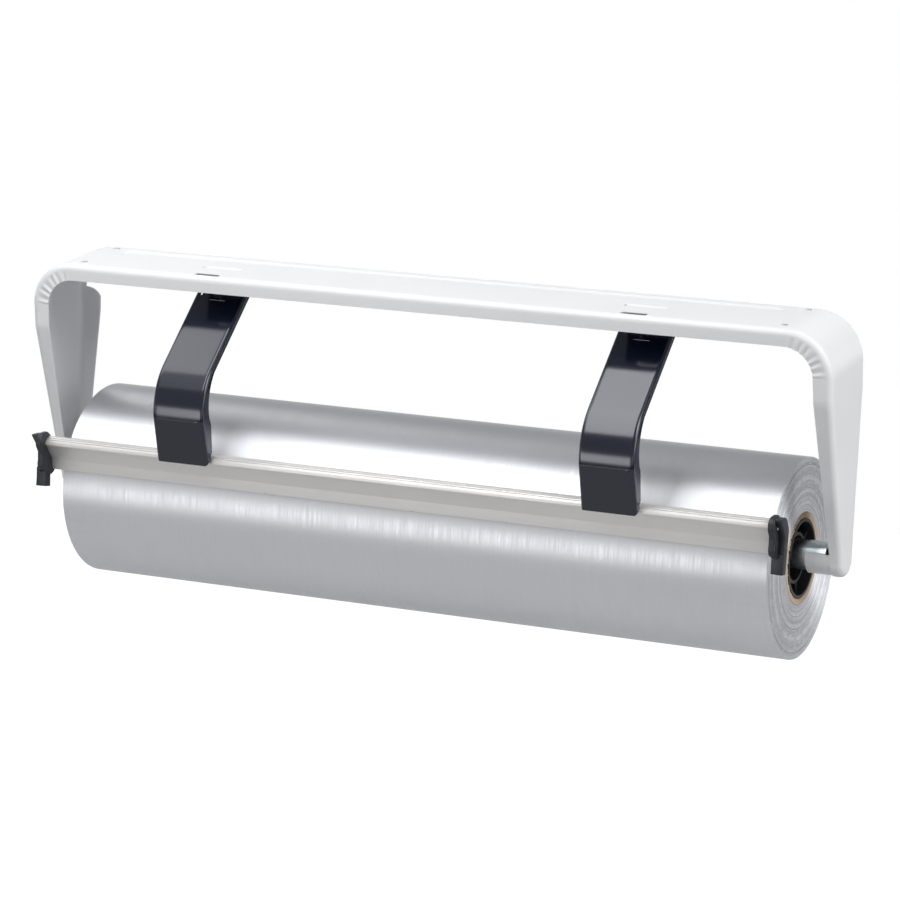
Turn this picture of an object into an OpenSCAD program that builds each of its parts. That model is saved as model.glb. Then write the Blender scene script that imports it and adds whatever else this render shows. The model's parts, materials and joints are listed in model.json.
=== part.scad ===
// Under-counter dispenser for a roll of foil.
// The origin is the middle of the four screw holes on the top face. X runs along the roll,
// -Y points to the user, and everything hangs below Z = 0.

/* [Frame] */
// Overall width across the two legs
frame_w = 563; // [556:1:600]
// Front face, ahead of the middle of the screw holes
front_reach = 33.5; // [32:0.5:38]
// Rear face, behind the middle of the screw holes
back_reach = 28.9; // [27:0.1:36]
// Thickness of the sheet
sheet_t = 1.2; // [0.8:0.1:1.6]
// Outer radius of the two upper corners
corner_r = 30; // [24:1:36]
// Depth of the flanges along the front and rear of the top
flange_drop = 10.7; // [7:0.1:11.5]
// Depth at which the front edge of a leg starts to slope
front_knee = 44.5; // [40:0.5:60]
// Depth at which the rear edge of a leg starts to slope
back_knee = 46.5; // [40:0.5:60]
// Front of a leg's foot, ahead of the middle of the screw holes
foot_front = 9.6; // [9:0.1:12]
// Rear of a leg's foot, behind the middle of the screw holes
foot_back = 12; // [10:0.1:16]
// Width of a leg's front flange at its upper end
front_lip = 12.3; // [9:0.1:14]
// Width of a leg's rear flange at its upper end
back_lip = 17; // [12:0.5:18]
// Width of a leg's flange at the foot
foot_lip = 7.5; // [5:0.1:9]

/* [Screw holes] */
// Distance of the screw holes from a leg's outer face
hole_inset = 34.8; // [33.5:0.1:37.5]
// Distance between the screw holes from front to rear
hole_span_y = 42.7; // [41:0.1:44]
// Radius of a screw hole
hole_r = 2.5; // [2:0.1:2.8]

/* [Axle] */
// Outer radius of the axle tube
axle_r = 9.5; // [8:0.1:10]
// Wall of the axle tube
axle_wall = 1.2; // [0.8:0.1:2]
// Distance of the axle's end from a leg's outer face
axle_inset = 12.5; // [9.5:0.5:18]
// Depth of the axle's middle below the top face
axle_drop = 152.7; // [151:0.1:170]
// Place of the axle's middle behind the middle of the screw holes
axle_y = 3.4; // [2.5:0.1:4.5]
// Inner radius of the cradle that the axle lies in
cradle_r = 11.8; // [11:0.1:12.2]
// Height of the cradle's mouth above the axle's middle
mouth_rise = 5.1; // [3.7:0.1:7.7]
// Distance from a leg's outer face to the inner edge of its cradle
cradle_in = 24.5; // [22:0.5:25]

/* [Roll] */
// Distance of the roll's end from a leg's outer face
roll_inset = 31.5; // [30.5:0.5:41.5]
// Radius of the full roll
roll_r = 64.1; // [52:0.1:68]
// Outer radius of the cardboard core
core_r = 29.6; // [28:0.1:34]
// Wall of the cardboard core
core_wall = 4.1; // [2:0.1:5]
// Radius of the hub bore in a core plug
hub_bore_r = 14.35; // [13:0.05:15]
// Wall of a core plug
plug_wall = 2; // [1.2:0.1:2.5]
// Depth of a core plug inside the core
plug_depth = 24; // [12:1:40]
// Number of spokes of a core plug
plug_spokes = 6; // [4:1:8]
// Depth of the hub's face below the end of the roll
hub_recess = 4; // [2:0.5:8]

/* [Tear bar] */
// Reach of the rail's visible length past the roll's end
rail_margin = 5.75; // [3:0.25:8]
// Sideways shift of the whole rail
rail_shift = -1.6; // [-2.5:0.1:2.5]
// Height of the rail above the blade's tip
rail_h = 23.7; // [20:0.1:28]
// Reach of the rail's head ahead of the blade's tip
head_reach = 9.3; // [8:0.1:12]
// Wall of the rail
rail_t = 1.1; // [0.9:0.1:1.4]
// Thickness of the cutter blade
blade_t = 0.4; // [0.3:0.1:0.6]
// Height of the cutter blade
blade_h = 8.5; // [6:0.5:10]
// Length of an end cap along the rail
cap_len = 8.2; // [7:0.1:9]
// Depth of the rail in an end cap
cap_socket = 5; // [3:0.5:5.5]
// Width of an end cap from front to rear
cap_w = 24.5; // [22:0.5:28]
// Height of an end cap
cap_h = 41; // [38:1:48]

/* [Arms] */
// Distance between the middles of the two arms
arm_span = 300.4; // [260:1:340]
// Width of an arm
arm_w = 37.4; // [34:0.1:44]
// Sheet of an arm
arm_t = 1.5; // [1:0.1:2]
// Slope of an arm's upper stretch, in degrees
arm_slope = 37.5; // [32:0.5:42]
// Radius of an arm's bend
arm_bend_r = 41; // [36:1:46]
// Depth of an arm's side flange along its upper stretch
arm_lip = 4; // [3.6:0.1:6]
// Depth of an arm's side flange at its bend
arm_bend_lip = 9.5; // [8:0.5:10.5]
// Distance that an arm's foot is drawn back from the bend
foot_tuck = 4.2; // [2:0.1:6]
// Gap in front of the rail's head, with the arm's sheet
foot_stand = 5.5; // [4:0.1:7]

/* [Hinges] */
// Depth of the hinge pins below the top face
pivot_drop = 14.5; // [14:0.1:16]
// Place of the hinge pins behind the middle of the screw holes
pivot_y = 2.9; // [1:0.1:4]
// Radius of a hinge pin
pin_r = 2; // [1.5:0.1:2.2]
// Radius of an arm's ear round its pin
ear_r = 5.8; // [5:0.1:6.2]
// Sheet of a hinge bracket
bracket_t = 1.2; // [0.8:0.1:1.5]
// Wire of a torsion spring
wire_d = 1.6; // [1.2:0.1:1.8]
// Curls of a torsion spring
spring_curls = 5; // [3:1:6]

/* [Hidden] */
$fn = 64;

// Overrun of every cut
over = 1;
// Gap of pieces that rest on each other and turn
rest_gap = 0.3;
// Gap of pieces that are pushed into each other
fit_gap = 0.1;
// Running gap of a hinge pin
pin_gap = 0.05;

// The frame, worked out
half_w = frame_w / 2;
hole_span_x = frame_w - 2 * hole_inset;
frame_h = axle_drop + axle_r + rest_gap + sheet_t;
foot_r = (foot_front + foot_back) / 2;
foot_y = (foot_back - foot_front) / 2;
flange_inner_r = corner_r - flange_drop;
cradle_z = -(axle_drop + axle_r + rest_gap - cradle_r);
cradle_mouth = axle_drop - mouth_rise;
cradle_wall_x = half_w - foot_lip + sheet_t;
arc_steps = 12;

// The pressed groove and the bracket openings of the top
groove_w = 14;
groove_end = 9;
groove_y = 13;
groove_depth = 0.8;
slot_w = 17.5;
slot_d = 4.5;
slot_front = 4;
bridge_side = 4.7;
bridge_w = arm_w - 2 * bridge_side;
bridge_d = 4.5;
bridge_y = -7.2;
bridge_drop = 1.2;
bridge_rim = 1.2;

// The roll hangs on the axle, pushed back by the bar
axle_len = frame_w - 2 * axle_inset;
roll_len = frame_w - 2 * roll_inset;
hang = hub_bore_r - axle_r - rest_gap;
hang_angle = 33;
roll_y = axle_y + hang * sin(hang_angle);
roll_z = -axle_drop - hang * cos(hang_angle);
core_bore_r = core_r - core_wall;
wound_gap = 0.02;
spoke_t = 1.6;

// The blade's tip rests on the roll at this angle above the horizontal
rail_len = roll_len + 2 * rail_margin;
tip_angle = 18.9;
tip_y = roll_y - (roll_r + rest_gap) * cos(tip_angle);
tip_z = roll_z + (roll_r + rest_gap) * sin(tip_angle);

// The rail's outline from the rear of its head to the lip: shares of head_reach and rail_h
head_shares = [[-0.28, 1], [-0.51, 0.99], [-0.78, 0.96], [-0.92, 0.9], [-1, 0.83], [-0.86, 0.77]];
lip_top_share = 0.32;
lip_foot_share = 0.03;
lip_y = -blade_t - rail_t;
head_line = [for (s = head_shares) [s[0] * head_reach, s[1] * rail_h]];
rail_line = concat(head_line, [[lip_y, lip_top_share * rail_h], [lip_y, lip_foot_share * rail_h]]);
groove_shares = [[-0.855, 0.945], [-0.975, 0.87]];
rib_groove_r = 0.35;

// An end cap's outline: shares of cap_w and cap_h, from the blade's tip
cap_shares = [[-0.63, 0.64], [-0.6, 0.6], [-0.48, 0.54], [-0.47, 0.44], [-0.32, 0.32], [-0.34, 0.11],
    [-0.48, -0.2], [-0.16, -0.33], [0.04, -0.31], [0.12, -0.1], [0.35, -0.03], [0.21, 0.28],
    [0.25, 0.61], [-0.45, 0.67]];

// An arm's centre line, from the pivot to the foot at the rail's head
pivot_z = -pivot_drop;
foot_face_y = tip_y - head_reach - foot_stand;
foot_share = 0.79;
foot_face_z = tip_z + foot_share * rail_h;
bend_y = foot_face_y - foot_tuck;
straight_run = (pivot_y - ear_r * sin(arm_slope) - arm_bend_r * (1 - sin(arm_slope)) - bend_y)
    / cos(arm_slope);
along = [-cos(arm_slope), -sin(arm_slope)];
outward = [-sin(arm_slope), cos(arm_slope)];
pivot = [pivot_y, pivot_z];
face_top = pivot + ear_r * outward;
face_turn = face_top + straight_run * along;
bend_mid = face_turn - arm_bend_r * outward;
bend_start = 90 + arm_slope;
bend_steps = 10;
web_start = 5;

// The hinge brackets, pins, clips and springs
ear_gap = 0.5;
ear_x = arm_w / 2 - arm_t - ear_gap;
bracket_back = 4;
bracket_front = -front_reach + slot_front + (slot_d - bracket_t) / 2;
bracket_ear_wall = 2.2;
bracket_ear_r = pin_r + bracket_ear_wall;
tab_play = 1.5;
tab_w = slot_w - tab_play;
head_t = 1.2;
head_rim = 1.6;
clip_t = 0.6;
clip_rim = 1.8;
clip_seat = 0.4;
clip_seat_r = pin_r - clip_seat;
clip_mouth_share = 0.8;
clip_margin = 0.5;
curl_gap = 0.6;
spring_r = pin_r + curl_gap + wire_d / 2;
spring_pitch = wire_d + curl_gap;
spring_rings = 8;
spring_sides = 6;
hook_run = 6.5;
hook_gap = 0.3;
hook_rise = ear_r - arm_t - wire_d / 2 - hook_gap;
hook_at = pivot + hook_run * along + hook_rise * outward;
ear_blend = 9;

// Unit vector, and the normal on the left of a line from a to b
function unit(v) = v / norm(v);
function left_of(a, b) = let (d = unit(b - a)) [-d[1], d[0]];

// Corner q between p and r, moved d to the left of the line through them
function mitre(p, q, r, d) = let (n = left_of(p, q), m = left_of(q, r)) q + d * (n + m) / (1 + n * m);

// A closed outline that runs anticlockwise, drawn in by d
function inset(line, d) = let (n = len(line))
    [for (i = [0 : n - 1]) mitre(line[(i + n - 1) % n], line[i], line[(i + 1) % n], d)];

// An open line, moved d to its left, with both ends drawn out by e
function beside(line, d, e = 0) = let (n = len(line), a = unit(line[0] - line[1]),
    z = unit(line[n - 1] - line[n - 2]))
    [for (i = [0 : n - 1])
        i == 0 ? line[0] + d * left_of(line[0], line[1]) + e * a
        : i == n - 1 ? line[i] + d * left_of(line[i - 1], line[i]) + e * z
        : mitre(line[i - 1], line[i], line[i + 1], d)];

function reversed(list) = [for (i = [len(list) - 1 : -1 : 0]) list[i]];

// A strip between two offsets of an open line
function strip(line, a, b, e = 0) = concat(beside(line, a, e), reversed(beside(line, b, e)));

// Points on an arc
function arc(mid, r, from, to, steps) =
    [for (i = [0 : steps]) let (t = from + (to - from) * i / steps) mid + r * [cos(t), sin(t)]];

// A tube along a row of points, with its rings carried along without twist
function heading(p, i) = unit(p[min(i + 1, len(p) - 1)] - p[max(i - 1, 0)]);
function carried(s, t) = unit(s - t * (s * t));
function rings(p, r, n) =
    [for (i = 0, s = carried([0, 0, 1], heading(p, 0)); i < len(p);
        i = i + 1, s = carried(s, heading(p, min(i, len(p) - 1))))
        for (k = [0 : n - 1]) p[i] + r * (cos(360 * k / n) * s + sin(360 * k / n) * cross(heading(p, i), s))];

module tube(p, r, n) {
    last = len(p) - 1;
    skin = [for (i = [0 : last - 1]) for (k = [0 : n - 1])
        let (a = i * n + k, b = i * n + (k + 1) % n)
        each [[a, b + n, b], [a, a + n, b + n]]];
    start = [for (k = [1 : n - 2]) [0, k, k + 1]];
    end = [for (k = [1 : n - 2]) [last * n, last * n + k + 1, last * n + k]];
    polyhedron(rings(p, r, n), concat(skin, start, end));
}

// A Y-Z outline, extruded along X from x to x + w
module along_x(x, w) {
    translate([x, 0, 0]) rotate([90, 0, 90]) linear_extrude(w) children();
}

// An X-Z outline, extruded along Y from y to y + d
module along_y(y, d) {
    translate([0, y + d, 0]) rotate([90, 0, 0]) linear_extrude(d) children();
}

// A round bar along X
module bar_x(x, w, r) {
    translate([x, 0, 0]) rotate([0, 90, 0]) cylinder(h = w, r = r);
}

// Frame

// The leg's side outline, anticlockwise
side_line = concat([[back_reach, 0], [-front_reach, 0], [-front_reach, -front_knee]],
    arc([foot_y, -frame_h + foot_r], foot_r, 180, 360, arc_steps), [[back_reach, -back_knee]]);

// The hood seen from the front, drawn in by d
module hood(d) {
    r = corner_r - d;
    w = frame_w - 2 * d;
    translate([-w / 2 + r, -corner_r]) square([w - 2 * r, r]);
    translate([-w / 2, -frame_h - over]) square([w, frame_h + over - corner_r]);
    for (s = [-1, 1]) translate([s * (w / 2 - r), -corner_r]) circle(r);
}

// The opening between a front or rear flange's inner edges
module flange_opening(lip) {
    x_top = half_w - lip;
    x_foot = half_w - foot_lip;
    mid = [x_top - flange_inner_r, -flange_drop - flange_inner_r];
    half = concat([[x_foot, -frame_h - over]], arc(mid, flange_inner_r, 0, 90, arc_steps));
    polygon(concat(half, [for (p = reversed(half)) [-p[0], p[1]]]));
}

module cradle_section() {
    intersection() {
        difference() {
            union() {
                circle(cradle_r + sheet_t);
                translate([-cradle_r - sheet_t, 0]) square([2 * (cradle_r + sheet_t), corner_r]);
            }
            circle(cradle_r);
            translate([-cradle_r, 0]) square([2 * cradle_r, corner_r]);
        }
        translate([-2 * cradle_r, -2 * cradle_r])
            square([4 * cradle_r, 2 * cradle_r - cradle_mouth - cradle_z]);
    }
}

module groove_outline() {
    run = hole_span_x - 2 * groove_end - groove_w;
    translate([-run / 2, groove_y - groove_w / 2]) square([run, groove_w]);
    for (s = [-1, 1]) translate([s * run / 2, groove_y]) circle(groove_w / 2);
}

module bridge(s, rim) {
    translate([s * arm_span / 2 - bridge_w / 2 - rim, bridge_y - bridge_d / 2 - rim])
        square([bridge_w + 2 * rim, bridge_d + 2 * rim]);
}

module frame() {
    color("white") difference() {
        union() {
            difference() {
                intersection() {
                    along_y(-front_reach, front_reach + back_reach) hood(0);
                    along_x(-half_w, frame_w) polygon(side_line);
                }
                intersection() {
                    along_y(-front_reach, front_reach + back_reach) hood(sheet_t);
                    along_x(-half_w, frame_w) polygon(inset(side_line, sheet_t));
                }
                along_y(-front_reach - over, front_reach + over + foot_y) flange_opening(front_lip);
                along_y(foot_y, back_reach + over - foot_y) flange_opening(back_lip);
            }
            for (x = [-cradle_wall_x, half_w - cradle_in])
                translate([0, axle_y, cradle_z])
                    along_x(x, cradle_wall_x - half_w + cradle_in) cradle_section();
            translate([0, 0, -sheet_t - groove_depth]) linear_extrude(2 * groove_depth) groove_outline();
            for (s = [-1, 1])
                translate([0, 0, -sheet_t - bridge_drop]) linear_extrude(sheet_t) bridge(s, bridge_rim);
        }
        translate([0, 0, -groove_depth]) linear_extrude(groove_depth + over) groove_outline();
        for (s = [-1, 1]) {
            translate([0, 0, -bridge_drop]) linear_extrude(bridge_drop + over) bridge(s, 0);
            translate([s * arm_span / 2 - slot_w / 2, slot_front - front_reach, -sheet_t - over])
                cube([slot_w, slot_d, sheet_t + 2 * over]);
            for (t = [-1, 1])
                translate([s * hole_span_x / 2, t * hole_span_y / 2, -sheet_t - over])
                    cylinder(h = sheet_t + 2 * over, r = hole_r);
        }
    }
}

// Axle and roll

module axle_tube() {
    color("lightsteelblue") translate([0, axle_y, -axle_drop]) difference() {
        bar_x(-axle_len / 2, axle_len, axle_r);
        bar_x(-axle_len / 2 - over, axle_len + 2 * over, axle_r - axle_wall);
    }
}

// A core plug on the side s: outer ring, hub, spokes and inner floor
module core_plug(s) {
    out_r = core_bore_r - fit_gap;
    end = roll_len / 2;
    hub_len = plug_depth - hub_recess;
    color("black") translate([0, roll_y, roll_z]) mirror([s < 0 ? 1 : 0, 0, 0]) difference() {
        union() {
            difference() {
                bar_x(end - plug_depth, plug_depth, out_r);
                bar_x(end - plug_depth + plug_wall, plug_depth, out_r - plug_wall);
            }
            bar_x(end - plug_depth, hub_len, hub_bore_r + plug_wall);
            intersection() {
                for (i = [0 : plug_spokes - 1])
                    rotate([i * 360 / plug_spokes, 0, 0])
                        translate([end - plug_depth, -spoke_t / 2, 0]) cube([hub_len, spoke_t, out_r]);
                bar_x(end - plug_depth, hub_len, out_r - plug_wall / 2);
            }
        }
        bar_x(end - plug_depth - over, plug_depth + 2 * over, hub_bore_r);
    }
}

module cardboard_core() {
    color("tan") translate([0, roll_y, roll_z]) difference() {
        bar_x(-roll_len / 2, roll_len, core_r);
        bar_x(-roll_len / 2 - over, roll_len + 2 * over, core_bore_r);
    }
}

module foil_roll() {
    color("silver") translate([0, roll_y, roll_z]) difference() {
        bar_x(-roll_len / 2, roll_len, roll_r);
        bar_x(-roll_len / 2 - over, roll_len + 2 * over, core_r + wound_gap);
    }
}

// Tear bar

module tear_rail() {
    color("gainsboro") translate([rail_shift, tip_y, tip_z]) difference() {
        along_x(-rail_len / 2 - cap_socket, rail_len + 2 * cap_socket)
            polygon(strip(rail_line, 0, rail_t));
        for (g = groove_shares)
            translate([0, g[0] * head_reach, g[1] * rail_h])
                bar_x(-rail_len / 2 - cap_socket - over, rail_len + 2 * (cap_socket + over), rib_groove_r);
    }
}

module cutter_blade() {
    color("lightgray") translate([rail_shift - rail_len / 2, tip_y - blade_t, tip_z])
        cube([rail_len, blade_t, blade_h]);
}

// An end cap on the side s, with a socket in the shape of the rail
module end_cap(s) {
    color("dimgray") translate([rail_shift, tip_y, tip_z]) mirror([s < 0 ? 1 : 0, 0, 0]) difference() {
        along_x(rail_len / 2, cap_len)
            polygon([for (p = cap_shares) [p[0] * cap_w, p[1] * cap_h]]);
        along_x(rail_len / 2 - over, cap_socket + over)
            polygon(strip(rail_line, -fit_gap, rail_t + fit_gap, fit_gap));
    }
}

// Arms

// The face's line from the pivot to the foot
face_line = concat([face_top + web_start * along],
    arc(bend_mid, arm_bend_r, bend_start, 180, bend_steps), [[foot_face_y, foot_face_z]]);

// The side flange, clear of the rail's head
module arm_flange() {
    rear = [for (i = [0 : bend_steps]) let (t = bend_start + (180 - bend_start) * i / bend_steps,
        lip = arm_lip + (arm_bend_lip - arm_lip) * i / bend_steps)
        bend_mid + (arm_bend_r - lip) * [cos(t), sin(t)]];
    ear = arc(pivot, ear_r, bend_start - 180, bend_start, arc_steps);
    difference() {
        union() {
            polygon(concat([face_top], face_line,
                [[rear[bend_steps][0] + arm_t, foot_face_z]], reversed(rear),
                [face_top + web_start * along - arm_lip * outward, pivot]));
            polygon(concat(ear, [face_top + ear_blend * along,
                face_top + ear_blend * along - arm_lip * outward]));
        }
        circle_at(pivot, pin_r + pin_gap);
        circle_at(hook_at, wire_d / 2 + hook_gap);
        translate([tip_y, tip_z]) polygon(concat(beside(head_line, -fit_gap, fit_gap), [[0, 0]]));
    }
}

module circle_at(p, r) {
    translate(p) circle(r);
}

module arm(s) {
    x = s * arm_span / 2;
    color("black") {
        along_x(x - arm_w / 2, arm_w) polygon(strip(face_line, 0, arm_t));
        for (side = [x - arm_w / 2, x + arm_w / 2 - arm_t]) along_x(side, arm_t) arm_flange();
    }
}

// Hinges

module hinge_bracket(s) {
    top = -sheet_t - bracket_t;
    window = bridge_rim + ear_gap;
    color("dimgray") translate([s * arm_span / 2, 0, 0]) {
        difference() {
            translate([-ear_x, bracket_front, top])
                cube([2 * ear_x, bracket_back - bracket_front, bracket_t]);
            translate([-bridge_w / 2 - window, bridge_y - bridge_d / 2 - window, top - over])
                cube([bridge_w + 2 * window, bridge_d + 2 * window, bracket_t + 2 * over]);
        }
        translate([-tab_w / 2, bracket_front, top])
            cube([tab_w, bracket_t, sheet_t + bracket_t - rest_gap]);
        for (x = [-ear_x, ear_x - bracket_t]) along_x(x, bracket_t) difference() {
            union() {
                circle_at(pivot, bracket_ear_r);
                polygon([[bracket_back, top], [pivot_y - bracket_ear_r, top],
                    [pivot_y - bracket_ear_r, pivot_z], [pivot_y + bracket_ear_r, pivot_z],
                    [bracket_back + bracket_t, top - bracket_t]]);
            }
            circle_at(pivot, pin_r + pin_gap);
        }
    }
}

// The pin's left end has a head, the right end a groove for the clip
module hinge_pin(s) {
    left = -arm_w / 2 - fit_gap;
    clip_x = arm_w / 2 + fit_gap;
    color("silver") translate([s * arm_span / 2, pivot_y, pivot_z]) {
        bar_x(left - head_t, head_t, pin_r + head_rim);
        bar_x(left, clip_x - left, pin_r);
        bar_x(clip_x, clip_t + fit_gap, clip_seat_r);
        bar_x(clip_x + clip_t + fit_gap, clip_margin, pin_r);
    }
}

module pin_clip(s) {
    clip_r = pin_r + clip_rim;
    mouth = 2 * clip_seat_r * clip_mouth_share;
    color("silver") translate([s * arm_span / 2 + arm_w / 2 + fit_gap, pivot_y, pivot_z]) difference() {
        bar_x(fit_gap / 2, clip_t, clip_r);
        bar_x(-over, clip_t + 2 * over, clip_seat_r + pin_gap);
        translate([-over, -mouth / 2, -clip_r - over]) cube([clip_t + 2 * over, mouth, clip_r + over]);
    }
}

// The spring's curls run clockwise seen from the right. One leg bears on the bracket from
// below, the other leaves for a hole in the arm's right flange.
bear_at = [bracket_front / 2, -sheet_t - bracket_t - wire_d / 2 - hook_gap];
bear = bear_at - pivot;
hook = hook_at - pivot;
curl_from = atan2(bear[1], bear[0]) - acos(spring_r / norm(bear));
curl_to = atan2(hook[1], hook[0]) + acos(spring_r / norm(hook)) - 360 * (spring_curls + 1);
curl_count = ceil((curl_from - curl_to) / 360 * spring_rings);
spring_half = (curl_from - curl_to) / 360 * spring_pitch / 2;
curl_points = [for (i = [0 : curl_count]) let (t = curl_from + (curl_to - curl_from) * i / curl_count)
    [2 * spring_half * i / curl_count - spring_half, pivot_y + spring_r * cos(t), pivot_z + spring_r * sin(t)]];
flange_x = arm_w / 2 - arm_t;
hook_points = [for (x = [spring_half + wire_d, spring_half + 2 * wire_d, flange_x + arm_t + hook_gap])
    [x, hook_at[0], hook_at[1]]];
spring_points = concat([[-spring_half, bear_at[0], bear_at[1]]], curl_points, hook_points);
spring_least_gap = min([for (i = [0 : len(spring_points) - 1], j = [0 : len(spring_points) - 1])
    if (j - i > spring_rings / 2) norm(spring_points[i] - spring_points[j]) - wire_d]);
echo(spring_least_gap = spring_least_gap);

module torsion_spring(s) {
    color("silver") translate([s * arm_span / 2, 0, 0])
        tube(spring_points, wire_d / 2, spring_sides);
}

frame();
axle_tube();
core_plug(-1);  // left_core_plug
core_plug(1);  // right_core_plug
cardboard_core();
foil_roll();
arm(-1);  // left_arm
arm(1);  // right_arm
hinge_bracket(-1);  // left_hinge_bracket
hinge_bracket(1);  // right_hinge_bracket
hinge_pin(-1);  // left_hinge_pin
hinge_pin(1);  // right_hinge_pin
torsion_spring(-1);  // left_torsion_spring
torsion_spring(1);  // right_torsion_spring
pin_clip(-1);  // left_pin_clip
pin_clip(1);  // right_pin_clip
tear_rail();
cutter_blade();
end_cap(-1);  // left_end_cap
end_cap(1);  // right_end_cap
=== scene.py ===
"""An under-counter dispenser for a roll of foil, dressed over its construction model.

Lengths in the classes are millimetres, in the model's own frame: the origin is the middle of
the four screw holes on the top face, X runs along the roll and -Y points to the user.
"""

import json
import logging
import math
from dataclasses import dataclass, field
from enum import Enum
from typing import Callable, Mapping, Sequence

import bpy
from mathutils import Matrix, Vector


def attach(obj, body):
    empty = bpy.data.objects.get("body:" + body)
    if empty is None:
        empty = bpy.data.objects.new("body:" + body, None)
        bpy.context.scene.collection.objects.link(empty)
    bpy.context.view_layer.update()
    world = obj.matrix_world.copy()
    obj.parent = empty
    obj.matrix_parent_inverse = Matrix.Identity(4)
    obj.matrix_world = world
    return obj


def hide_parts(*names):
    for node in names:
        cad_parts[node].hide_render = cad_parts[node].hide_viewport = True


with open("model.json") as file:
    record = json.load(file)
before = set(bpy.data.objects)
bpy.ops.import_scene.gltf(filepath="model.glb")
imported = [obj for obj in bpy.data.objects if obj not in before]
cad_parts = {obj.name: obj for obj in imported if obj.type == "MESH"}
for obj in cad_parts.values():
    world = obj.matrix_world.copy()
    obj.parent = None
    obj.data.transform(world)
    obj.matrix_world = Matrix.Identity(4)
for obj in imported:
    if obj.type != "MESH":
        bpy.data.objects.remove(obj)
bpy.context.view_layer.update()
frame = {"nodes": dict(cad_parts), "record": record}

MM = 0.001
log = logging.getLogger("dispenser")

Point2 = tuple[float, float]
Point3 = tuple[float, float, float]
Colour = tuple[float, float, float]
Arc = tuple[Point2, float, float, float, int]
Piece = bpy.types.Object
Socket = bpy.types.NodeSocket
Sockets = Mapping[str, Socket]
Tree = bpy.types.NodeTree

WHITE = (1.0, 1.0, 1.0)
NOISE_REACH = (0.3, 0.7)
ARM_SPAN = 300.4
HINGE_AXIS = (2.9, -14.5)
PIN_BORE = 2.05
AXLE_AXIS = (3.4, -152.7)
ROLL_AXIS = (5.878, -156.516)


class Side(Enum):
    """The two ends of the dispenser, as the sign of X."""

    LEFT = -1
    RIGHT = 1

    @property
    def word(self) -> str:
        """The side's name in lower case."""
        return self.name.lower()


def blend(a: float, b: float, share: float) -> float:
    """A value between a and b, at a share of the way."""
    return a + (b - a) * share


def spaced(start: float, end: float, steps: int) -> list[float]:
    """Evenly spaced values, start and end included."""
    return [blend(start, end, i / steps) for i in range(steps + 1)]


def eased(value: float, start: float, end: float) -> float:
    """A smooth step, which is 0 up to start and 1 from end on."""
    t = min(max((value - start) / (end - start), 0.0), 1.0)
    return t * t * (3.0 - 2.0 * t)


def arc(mid: Point2, radius: float, start: float, end: float, steps: int) -> list[Point2]:
    """Points on an arc, its ends included.

    Args:
        mid: the arc's middle.
        radius: its radius.
        start: its first angle, in degrees.
        end: its last angle, in degrees.
        steps: how many chords it has.

    Returns:
        The points.
    """
    angles = [math.radians(a) for a in spaced(start, end, steps)]
    return [(mid[0] + radius * math.cos(a), mid[1] + radius * math.sin(a)) for a in angles]


def waves(at: float, terms: Sequence[Point3]) -> float:
    """A sum of sine waves, each with its height, its pace and its start."""
    return sum(height * math.sin(at * pace + start) for height, pace, start in terms)


def ring(half: float, inner: float, outer: float, ease: float) -> list[Point2]:
    """The closed profile of a tube with eased edges, for turning.

    Args:
        half: half the tube's length.
        inner: its inner radius.
        outer: its outer radius.
        ease: how much its edges are broken.

    Returns:
        (x, radius) pairs.
    """
    return [(-half, inner + ease), (-half, outer - ease), (-half + ease, outer),
            (half - ease, outer), (half, outer - ease), (half, inner + ease),
            (half - ease, inner), (-half + ease, inner)]


def offset_line(line: Sequence[Point2], d: float) -> list[Point2]:
    """An open line, moved to its left.

    Args:
        line: the line's points.
        d: how far it is moved.

    Returns:
        The moved points.
    """
    steps = [Vector(b) - Vector(a) for a, b in zip(line, line[1:])]
    ways = [Vector((-step.y, step.x)).normalized() for step in steps]
    moved = []
    for point, before, after in zip(line, ways[:1] + ways, ways + ways[-1:]):
        joint = Vector(point) + d * (before + after) / (1.0 + before.dot(after))
        moved.append((joint.x, joint.y))
    return moved


def compass(azimuth: float, elevation: float) -> Vector:
    """A direction from the object, in degrees to the right of the front and of rise."""
    a, e = math.radians(azimuth), math.radians(elevation)
    return Vector((math.sin(a) * math.cos(e), -math.cos(a) * math.cos(e), math.sin(e)))


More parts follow.
